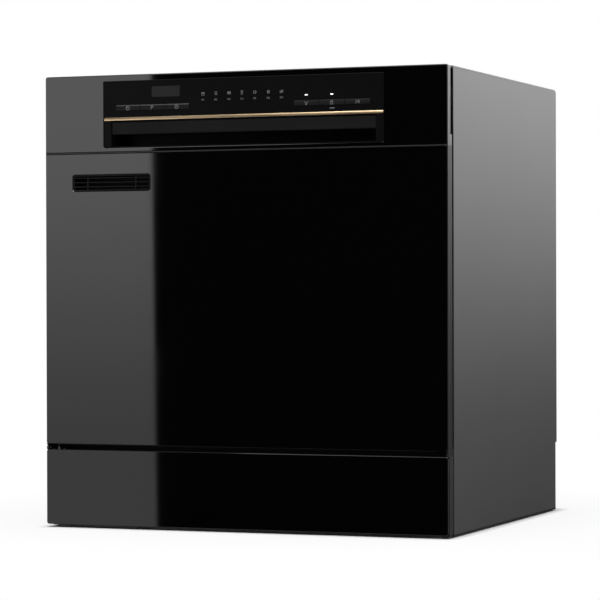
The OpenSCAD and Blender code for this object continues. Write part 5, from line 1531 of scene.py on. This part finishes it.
def build_springs():
    """Wound balance springs with a hook at each end."""
    low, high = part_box("door_springs")
    wire, turns = sizes().spring_wire, sizes().spring_turns
    y = (low.y + high.y) / 2
    coil = (high.y - low.y) / 2 - wire
    bottom, top = low.z + 17 * MM, high.z - 7 * MM
    for side, name in ((-1, "left"), (1, "right")):
        x = side * (high.x - coil - wire)
        path = [Vector((x, y, low.z + 0.3 * MM)), Vector((x, y, bottom - 3 * MM)),
                Vector((x + coil * 0.6, y, bottom - 1 * MM))]
        steps = turns * 12
        for i in range(steps + 1):
            angle = 2 * math.pi * i / 12
            path.append(Vector((x + coil * math.cos(angle), y + coil * math.sin(angle),
                                bottom + (top - bottom) * i / steps)))
        path += [Vector((x + coil * 0.6, y, top + 1 * MM)), Vector((x, y, top + 3 * MM)),
                 Vector((x, y, high.z - 0.3 * MM))]
        bm = bmesh.new()
        sweep(bm, path, wire, 6)
        mesh = finished_mesh(f"balance_spring_{name}", bm)
        mesh.materials.append(finish("spring_steel"))
        made = put(mesh.name, mesh)
        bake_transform(made)
        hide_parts("door_springs")


def screw_thread(bm, middle, start, end, outer, inner, bore, pitch=1.81 * MM):
    """A hollow threaded neck along Y, drawn as a row of ridges."""
    profile = [(start, bore), (start, inner)]
    y = start + 2 * MM
    while y + pitch < end - 1 * MM:
        profile += [(y, inner), (y + pitch * 0.35, outer), (y + pitch * 0.6, outer),
                    (y + pitch * 0.95, inner)]
        y += pitch
    profile += [(end - 0.8 * MM, inner), (end, inner - 0.5 * MM), (end, bore + 0.3 * MM),
                (end - 0.4 * MM, bore)]
    loft(bm, [on_front(round_points(r, 48), middle, along) for along, r in profile], ring=True)


# Rear connections, as (x, z), and the place of the rear wall that they pass through
INLET, DRAIN, GLAND = (0.150, 0.060), (-0.100, 0.058), (0.200, 0.060)
REAR_WALL = 0.228


def build_connections():
    """Rear connections: the inlet with its thread, the drain's barbs and the gland's nut."""
    low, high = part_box("inlet_valve")
    middle = INLET
    wall, bore = REAR_WALL, 9 * MM
    bm = bmesh.new()
    screw_thread(bm, middle, wall + 3 * MM, high.y, 13.2 * MM, 12.3 * MM, bore)
    loft(bm, [on_front(round_points(r, 48), middle, y) for y, r in (
        (wall - 2.5 * MM, bore), (wall - 2.5 * MM, 13.2 * MM), (wall, 13.2 * MM), (wall, 17.4 * MM),
        (wall + 0.5 * MM, 18 * MM), (wall + 2.5 * MM, 18 * MM), (wall + 3.1 * MM, 17.2 * MM),
        (wall + 3.1 * MM, bore))], ring=True)
    strainer = wall + 9 * MM
    lathe(bm, [(strainer - 3 * MM, 5 * MM), (strainer - 1 * MM, bore - 0.1 * MM),
               (strainer, bore - 0.1 * MM), (strainer, 7 * MM), (strainer - 0.8 * MM, 6.6 * MM)],
          middle, "y", 40)
    for k in range(5):
        z = middle[1] + (k - 2) * 2.6 * MM
        reach = math.sqrt(max((7 * MM) ** 2 - (z - middle[1]) ** 2, 1e-8))
        block(bm, (middle[0] - reach, strainer - 1.2 * MM, z - 0.3 * MM),
              (middle[0] + reach, strainer - 0.2 * MM, z + 0.3 * MM))
    body_back = wall - 2.5 * MM
    soft_box(bm, (middle[0] - 22 * MM, body_back - 15 * MM, middle[1] - 20 * MM),
             (middle[0] + 22 * MM, body_back, middle[1] + 24 * MM), 2.5 * MM, 3)
    soft_box(bm, (middle[0] - 17 * MM, low.y, middle[1] - 12 * MM),
             (middle[0] + 17 * MM, body_back - 13 * MM, middle[1] + 22 * MM), 5 * MM, 3)
    soft_box(bm, (middle[0] - 8 * MM, low.y + 5 * MM, low.z),
             (middle[0] + 8 * MM, low.y + 33 * MM, middle[1]), 1.5 * MM)
    piece("inlet", bm, "white_plastic", "cabinet", ["inlet_valve"])

    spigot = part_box("drain_pump")[1].y
    bm = bmesh.new()
    for k in range(4):
        y = spigot - 13 * MM + k * 3.2 * MM
        barb = [(y, 9.3), (y + 0.2 * MM, 10.3), (y + 2.6 * MM, 9.55), (y + 2.6 * MM, 9.3)]
        loft(bm, [on_front(round_points(r * MM, 40), DRAIN, place) for place, r in barb], ring=True)
    piece("drain_barbs", bm, "black_plastic", "cabinet")

    bm = bmesh.new()
    rows = []
    start = wall + 3 * MM
    end = start + 5.4 * MM
    for y, reach, hexed in ((start, 8.0, False), (start, 11.6, True),
                            (start + 0.6 * MM, 12.2, True), (start + 4.4 * MM, 12.2, True),
                            (start + 5 * MM, 11.4, True), (end, 9.6, False), (end, 8.0, False)):
        points = []
        for i in range(36):
            angle = 2 * math.pi * i / 36
            off = (angle + math.pi / 6) % (math.pi / 3) - math.pi / 6
            r = reach * MM * (math.cos(math.pi / 6) / math.cos(off) if hexed else 1.0)
            points.append((r * math.cos(angle), r * math.sin(angle)))
        rows.append(on_front(points, GLAND, y))
    loft(bm, rows, ring=True)
    piece("gland_nut", bm, "black_plastic", "cabinet")


MACHINERY_FINISH = {
    "wash_pump": ("motor_black", 0.6), "drain_pump": ("black_plastic", 0.6),
    "mains_gland": ("black_plastic", 0.5), "air_break": ("light_plastic", 0.8),
    "wash_impeller": ("white_plastic", 0.0), "insulation_wrap": ("bitumen", 0.6),
}


def dress_all(finishes):
    """Gives several CAD nodes their finishes. Each is (name, edge radius in mm)."""
    for node, (name, edge) in finishes.items():
        dress(node, name, edge * MM)


# ---------------------------------------------------------------- stage

def card(name, corners, material):
    """A flat board of the studio. Only reflections show it."""
    mesh = bpy.data.meshes.new(name)
    mesh.from_pydata(corners, [], [(0, 1, 2, 3)])
    mesh.materials.append(material)
    made = put(name, mesh)
    made.visible_camera = made.visible_diffuse = made.visible_shadow = False
    made.visible_transmission = made.visible_volume_scatter = False
    return made


def graded(name, soft_steps, strength):
    """Board material: black apart from a glow whose level is the product of soft steps.
    Each step is (axis number, place of the low level, place of the high one, low, high)."""
    material, shader, graph = new_material(name)
    place = graph.add("SeparateXYZ", {0: graph.add("TexCoord").outputs["Object"]})
    level = 1.0
    for axis, start, end, low, high in soft_steps:
        inputs = {"Value": place.outputs[axis], "From Min": start, "From Max": end,
                  "To Min": low, "To Max": high}
        step = graph.add("MapRange", inputs, interpolation_type="SMOOTHSTEP").outputs["Result"]
        level = graph.math("MULTIPLY", step, level)
    graph.feed(shader["Emission Color"], graph.shade((1.0, 0.998, 0.995), level))
    shader["Emission Strength"].default_value = strength
    shader["Base Color"].default_value = (0.0, 0.0, 0.0, 1.0)
    shader["Specular IOR Level"].default_value = 0.0
    return material


def seen(graph):
    """One for rays from the camera and through glass, else zero."""
    path = graph.add("LightPath").outputs
    return graph.math("MAXIMUM", path["Is Camera Ray"], path["Is Transmission Ray"])


def build_floor():
    """Pale floor that keeps the soft shadow and fades into the white surroundings."""
    reach = 9.0
    corners = ((-reach, -reach, 0), (reach, -reach, 0), (reach, reach, 0), (-reach, reach, 0))
    mesh = bpy.data.meshes.new("floor")
    mesh.from_pydata(corners, [], [(0, 1, 2, 3)])
    material, shader, graph = new_material("pale_floor")
    nodes = material.node_tree.nodes
    shader["Specular IOR Level"].default_value = 0.0
    shader["Roughness"].default_value = 0.9
    place = graph.add("TexCoord").outputs["Object"]
    grain = graph.spread(graph.noise(30.0, place), 0.985, 1.0)
    graph.feed(shader["Base Color"], graph.shade((0.86, 0.86, 0.86), grain))
    outside = place
    for operation, other in (("ABSOLUTE", (0, 0, 0)), ("SUBTRACT", (CAD_HIGH.x, CAD_HIGH.y, 0)),
                             ("MAXIMUM", (0, 0, 0))):
        outside = graph.add("VectorMath", {0: outside, 1: other}, operation=operation).outputs[0]
    distance = graph.add("VectorMath", {0: outside}, operation="LENGTH").outputs["Value"]
    fade = graph.add("MapRange", {"Value": distance, "From Max": 0.35, "To Min": 0.85})
    edge = graph.add("MapRange", {"Value": distance, "From Max": 0.015})
    fade = graph.math("MULTIPLY", fade.outputs["Result"], edge.outputs["Result"])
    mix = graph.add("MixShader", {0: graph.math("MULTIPLY", fade, seen(graph))})
    white = graph.add("Emission", {"Color": (1.0, 1.0, 1.0, 1.0), "Strength": 1.0})
    graph.feed(mix.inputs[1], nodes["Principled BSDF"].outputs[0])
    graph.feed(mix.inputs[2], white.outputs[0])
    graph.feed(nodes["Material Output"].inputs["Surface"], mix.outputs[0])
    mesh.materials.append(material)
    floor = put("floor", mesh)
    floor.visible_glossy = False


def build_surroundings(stage):
    """White surroundings as the camera sees them, and a plain ambient level on everything else."""
    scene = bpy.context.scene
    world = bpy.data.worlds.new("studio")
    world.use_nodes = True
    scene.world = world
    graph = Graph(world.node_tree)
    level = graph.add("MapRange", {"Value": seen(graph), "To Min": stage.ambient, "To Max": 1.0})
    ground = world.node_tree.nodes["Background"]
    ground.inputs["Color"].default_value = (1.0, 1.0, 1.0, 1.0)
    graph.feed(ground.inputs["Strength"], level.outputs["Result"])


def lamp(name, place, aim, power, width, height, spread=180.0):
    """A soft rectangular lamp, aimed at a point."""
    light = bpy.data.lights.new(name, "AREA")
    light.shape = "RECTANGLE"
    light.size, light.size_y = width, height
    light.energy = power
    light.spread = math.radians(spread)
    made = put(name, light)
    made.location = place
    made.rotation_euler = (Vector(aim) - Vector(place)).to_track_quat("-Z", "Y").to_euler()


def build_stage():
    """Floor, white surroundings, three lamps, two boards for the reflections and the camera."""
    stage = bpy.context.scene.dishwasher_stage
    scene = bpy.context.scene
    scene.view_settings.view_transform = "Standard"
    build_floor()
    build_surroundings(stage)
    lamp("key_lamp", (0.15, -1.15, 1.55), (0.0, -0.25, 0.35), stage.key_power, 1.1, 0.5)
    lamp("side_lamp", (1.7, 0.5, 1.3), (0.27, 0.0, 0.4), stage.side_power, 1.0, 1.0)
    lamp("top_lamp", (0.0, 0.1, 1.9), (0.0, 0.0, 0.5), stage.top_power, 1.6, 1.2)
    y = -1.35
    glow = ((0, -0.609, -0.618, 0.0, 1.0), (2, 0.0, 0.64, 0.45, 1.0), (2, 0.80, 0.75, 0.0, 1.0))
    front = card("front_board", [(-3.0, y, -1.2), (1.7, y, -1.2), (1.7, y, 2.4), (-3.0, y, 2.4)],
                 graded("front_card", glow, 2.25))
    front.rotation_euler.y = -0.011
    side = graded("side_card", ((2, 0.0, 1.0, 0.03, 1.0),), 2.15)
    card("side_board", [(0.3, 1.3, -0.9), (2.6, 0.9, -0.9), (2.6, 0.9, 2.2), (0.3, 1.3, 2.2)], side)

    data = bpy.data.cameras.new("camera")
    data.lens = stage.camera_lens
    data.sensor_width = 36.0
    camera = put("camera", data)
    turn = (Matrix.Rotation(stage.camera_yaw, 4, "Z")
            @ Matrix.Rotation(math.pi / 2 + stage.camera_pitch, 4, "X")
            @ Matrix.Rotation(stage.camera_roll, 4, "Z"))
    camera.matrix_world = Matrix.Translation(stage.camera_place) @ turn
    scene.camera = camera


# ---------------------------------------------------------------- add-on

class Builder:
    """What the operators share: they finish, or stop with the error of what they build."""
    bl_options = {"REGISTER", "UNDO"}


class DISHWASHER_OT_cabinet(Builder, Operator):
    """Builds the top and back sheets, the feet and the screws, and finishes the rest"""
    bl_idname = "dishwasher.cabinet"
    bl_label = "Cabinet"

    def execute(self, context):
        build_top_panel()
        build_back_panel()
        build_feet()
        build_screws()
        dress_all(CABINET_FINISH)
        build_kick_surround()
        return {"FINISHED"}


class DISHWASHER_OT_panes(Builder, Operator):
    """Builds the three glass panes"""
    bl_idname = "dishwasher.panes"
    bl_label = "Front panes"

    def execute(self, context):
        build_fascia_glass()
        build_door_glass()
        build_kick_glass()
        return {"FINISHED"}


class DISHWASHER_OT_door_frame(Builder, Operator):
    """Builds the moulding that holds the fascia and door panes"""
    bl_idname = "dishwasher.door_frame"
    bl_label = "Door frame"

    def execute(self, context):
        build_door_frame()
        return {"FINISHED"}


class DISHWASHER_OT_insert(Builder, Operator):
    """Finishes the control insert, with its strip, display and symbols"""
    bl_idname = "dishwasher.insert"
    bl_label = "Control insert"

    def execute(self, context):
        build_insert()
        return {"FINISHED"}


class DISHWASHER_OT_keys(Builder, Operator):
    """Builds the six push keys with their symbols"""
    bl_idname = "dishwasher.keys"
    bl_label = "Push keys"

    def execute(self, context):
        build_keys()
        return {"FINISHED"}


class DISHWASHER_OT_paddle(Builder, Operator):
    """Builds the release paddle in the finger pocket"""
    bl_idname = "dishwasher.paddle"
    bl_label = "Release paddle"

    def execute(self, context):
        build_paddle()
        return {"FINISHED"}


class DISHWASHER_OT_vent(Builder, Operator):
    """Builds the louvred vent in the door"""
    bl_idname = "dishwasher.vent"
    bl_label = "Door vent"

    def execute(self, context):
        build_vent()
        return {"FINISHED"}


class DISHWASHER_OT_inner_door(Builder, Operator):
    """Builds the steel pan inside the door"""
    bl_idname = "dishwasher.inner_door"
    bl_label = "Inner door"

    def execute(self, context):
        build_door_liner()
        return {"FINISHED"}


class DISHWASHER_OT_dispenser(Builder, Operator):
    """Builds the dispenser's lid and rinse-aid cap, and finishes what is round them"""
    bl_idname = "dishwasher.dispenser"
    bl_label = "Dispenser"

    def execute(self, context):
        build_dispenser()
        return {"FINISHED"}


class DISHWASHER_OT_tub(Builder, Operator):
    """Builds the steel tub with its runners, and finishes what stands in its floor"""
    bl_idname = "dishwasher.tub"
    bl_label = "Tub"

    def execute(self, context):
        build_tub()
        dress_all(TUB_FINISH)
        return {"FINISHED"}


class DISHWASHER_OT_seal(Builder, Operator):
    """Builds the rubber seal round the tub's mouth"""
    bl_idname = "dishwasher.seal"
    bl_label = "Door seal"

    def execute(self, context):
        build_gasket()
        return {"FINISHED"}


class DISHWASHER_OT_salt_cap(Builder, Operator):
    """Builds the screw cap of the salt container"""
    bl_idname = "dishwasher.salt_cap"
    bl_label = "Salt cap"

    def execute(self, context):
        build_salt_cap()
        return {"FINISHED"}


class DISHWASHER_OT_spray_arms(Builder, Operator):
    """Builds both spray arms"""
    bl_idname = "dishwasher.spray_arms"
    bl_label = "Spray arms"

    def execute(self, context):
        build_spray_arms()
        return {"FINISHED"}


class DISHWASHER_OT_lower_rack(Builder, Operator):
    """Builds the lower wire rack"""
    bl_idname = "dishwasher.lower_rack"
    bl_label = "Lower rack"

    def execute(self, context):
        build_lower_rack()
        return {"FINISHED"}


class DISHWASHER_OT_upper_rack(Builder, Operator):
    """Builds the upper wire rack with its hangers and feed pipe"""
    bl_idname = "dishwasher.upper_rack"
    bl_label = "Upper rack"

    def execute(self, context):
        build_upper_rack()
        return {"FINISHED"}


class DISHWASHER_OT_wheels(Builder, Operator):
    """Builds the wheels and rollers of both racks"""
    bl_idname = "dishwasher.wheels"
    bl_label = "Wheels and rollers"

    def execute(self, context):
        build_wheels()
        return {"FINISHED"}


class DISHWASHER_OT_basket(Builder, Operator):
    """Builds the slotted cutlery basket"""
    bl_idname = "dishwasher.basket"
    bl_label = "Cutlery basket"

    def execute(self, context):
        build_cutlery_basket()
        return {"FINISHED"}


class DISHWASHER_OT_springs(Builder, Operator):
    """Builds the two balance springs of the door"""
    bl_idname = "dishwasher.springs"
    bl_label = "Balance springs"

    def execute(self, context):
        build_springs()
        return {"FINISHED"}


class DISHWASHER_OT_machinery(Builder, Operator):
    """Builds the rear connections and finishes the machinery in the base"""
    bl_idname = "dishwasher.machinery"
    bl_label = "Base machinery"

    def execute(self, context):
        build_connections()
        dress_all(MACHINERY_FINISH)
        return {"FINISHED"}


class DISHWASHER_OT_stage(Builder, Operator):
    """Sets up the floor, the lights, the surroundings and the camera"""
    bl_idname = "dishwasher.stage"
    bl_label = "Studio"

    def execute(self, context):
        build_stage()
        return {"FINISHED"}


BUILDERS = (
    DISHWASHER_OT_cabinet, DISHWASHER_OT_panes, DISHWASHER_OT_door_frame, DISHWASHER_OT_insert,
    DISHWASHER_OT_keys, DISHWASHER_OT_paddle, DISHWASHER_OT_vent, DISHWASHER_OT_inner_door,
    DISHWASHER_OT_dispenser, DISHWASHER_OT_tub, DISHWASHER_OT_seal, DISHWASHER_OT_salt_cap,
    DISHWASHER_OT_spray_arms, DISHWASHER_OT_lower_rack, DISHWASHER_OT_upper_rack,
    DISHWASHER_OT_wheels, DISHWASHER_OT_basket, DISHWASHER_OT_springs, DISHWASHER_OT_machinery,
    DISHWASHER_OT_stage,
)


class DISHWASHER_PT_sidebar(Panel):
    """Lists the builders in the sidebar of the 3D view."""
    bl_label = "Countertop dishwasher"
    bl_space_type = "VIEW_3D"
    bl_region_type = "UI"
    bl_category = "Dishwasher"

    def draw(self, context):
        column = self.layout.column(align=True)
        for builder in BUILDERS:
            column.operator(builder.bl_idname)


SETTINGS = {
    "dishwasher_colours": DishwasherColours,
    "dishwasher_sizes": DishwasherSizes,
    "dishwasher_stage": DishwasherStage,
}


def register():
    """Adds the settings, the operators and the panel."""
    for name, group in SETTINGS.items():
        bpy.utils.register_class(group)
        setattr(bpy.types.Scene, name, PointerProperty(type=group))
    for builder in (*BUILDERS, DISHWASHER_PT_sidebar):
        bpy.utils.register_class(builder)


def unregister():
    """Takes them away again, in the opposite order."""
    for builder in (DISHWASHER_PT_sidebar, *reversed(BUILDERS)):
        bpy.utils.unregister_class(builder)
    for name, group in reversed(SETTINGS.items()):
        delattr(bpy.types.Scene, name)
        bpy.utils.unregister_class(group)


def main():
    """Builds the whole dishwasher through its operators."""
    register()
    for builder in BUILDERS:
        family, name = builder.bl_idname.split(".")
        getattr(getattr(bpy.ops, family), name)()


if __name__ == "__main__":
    main()
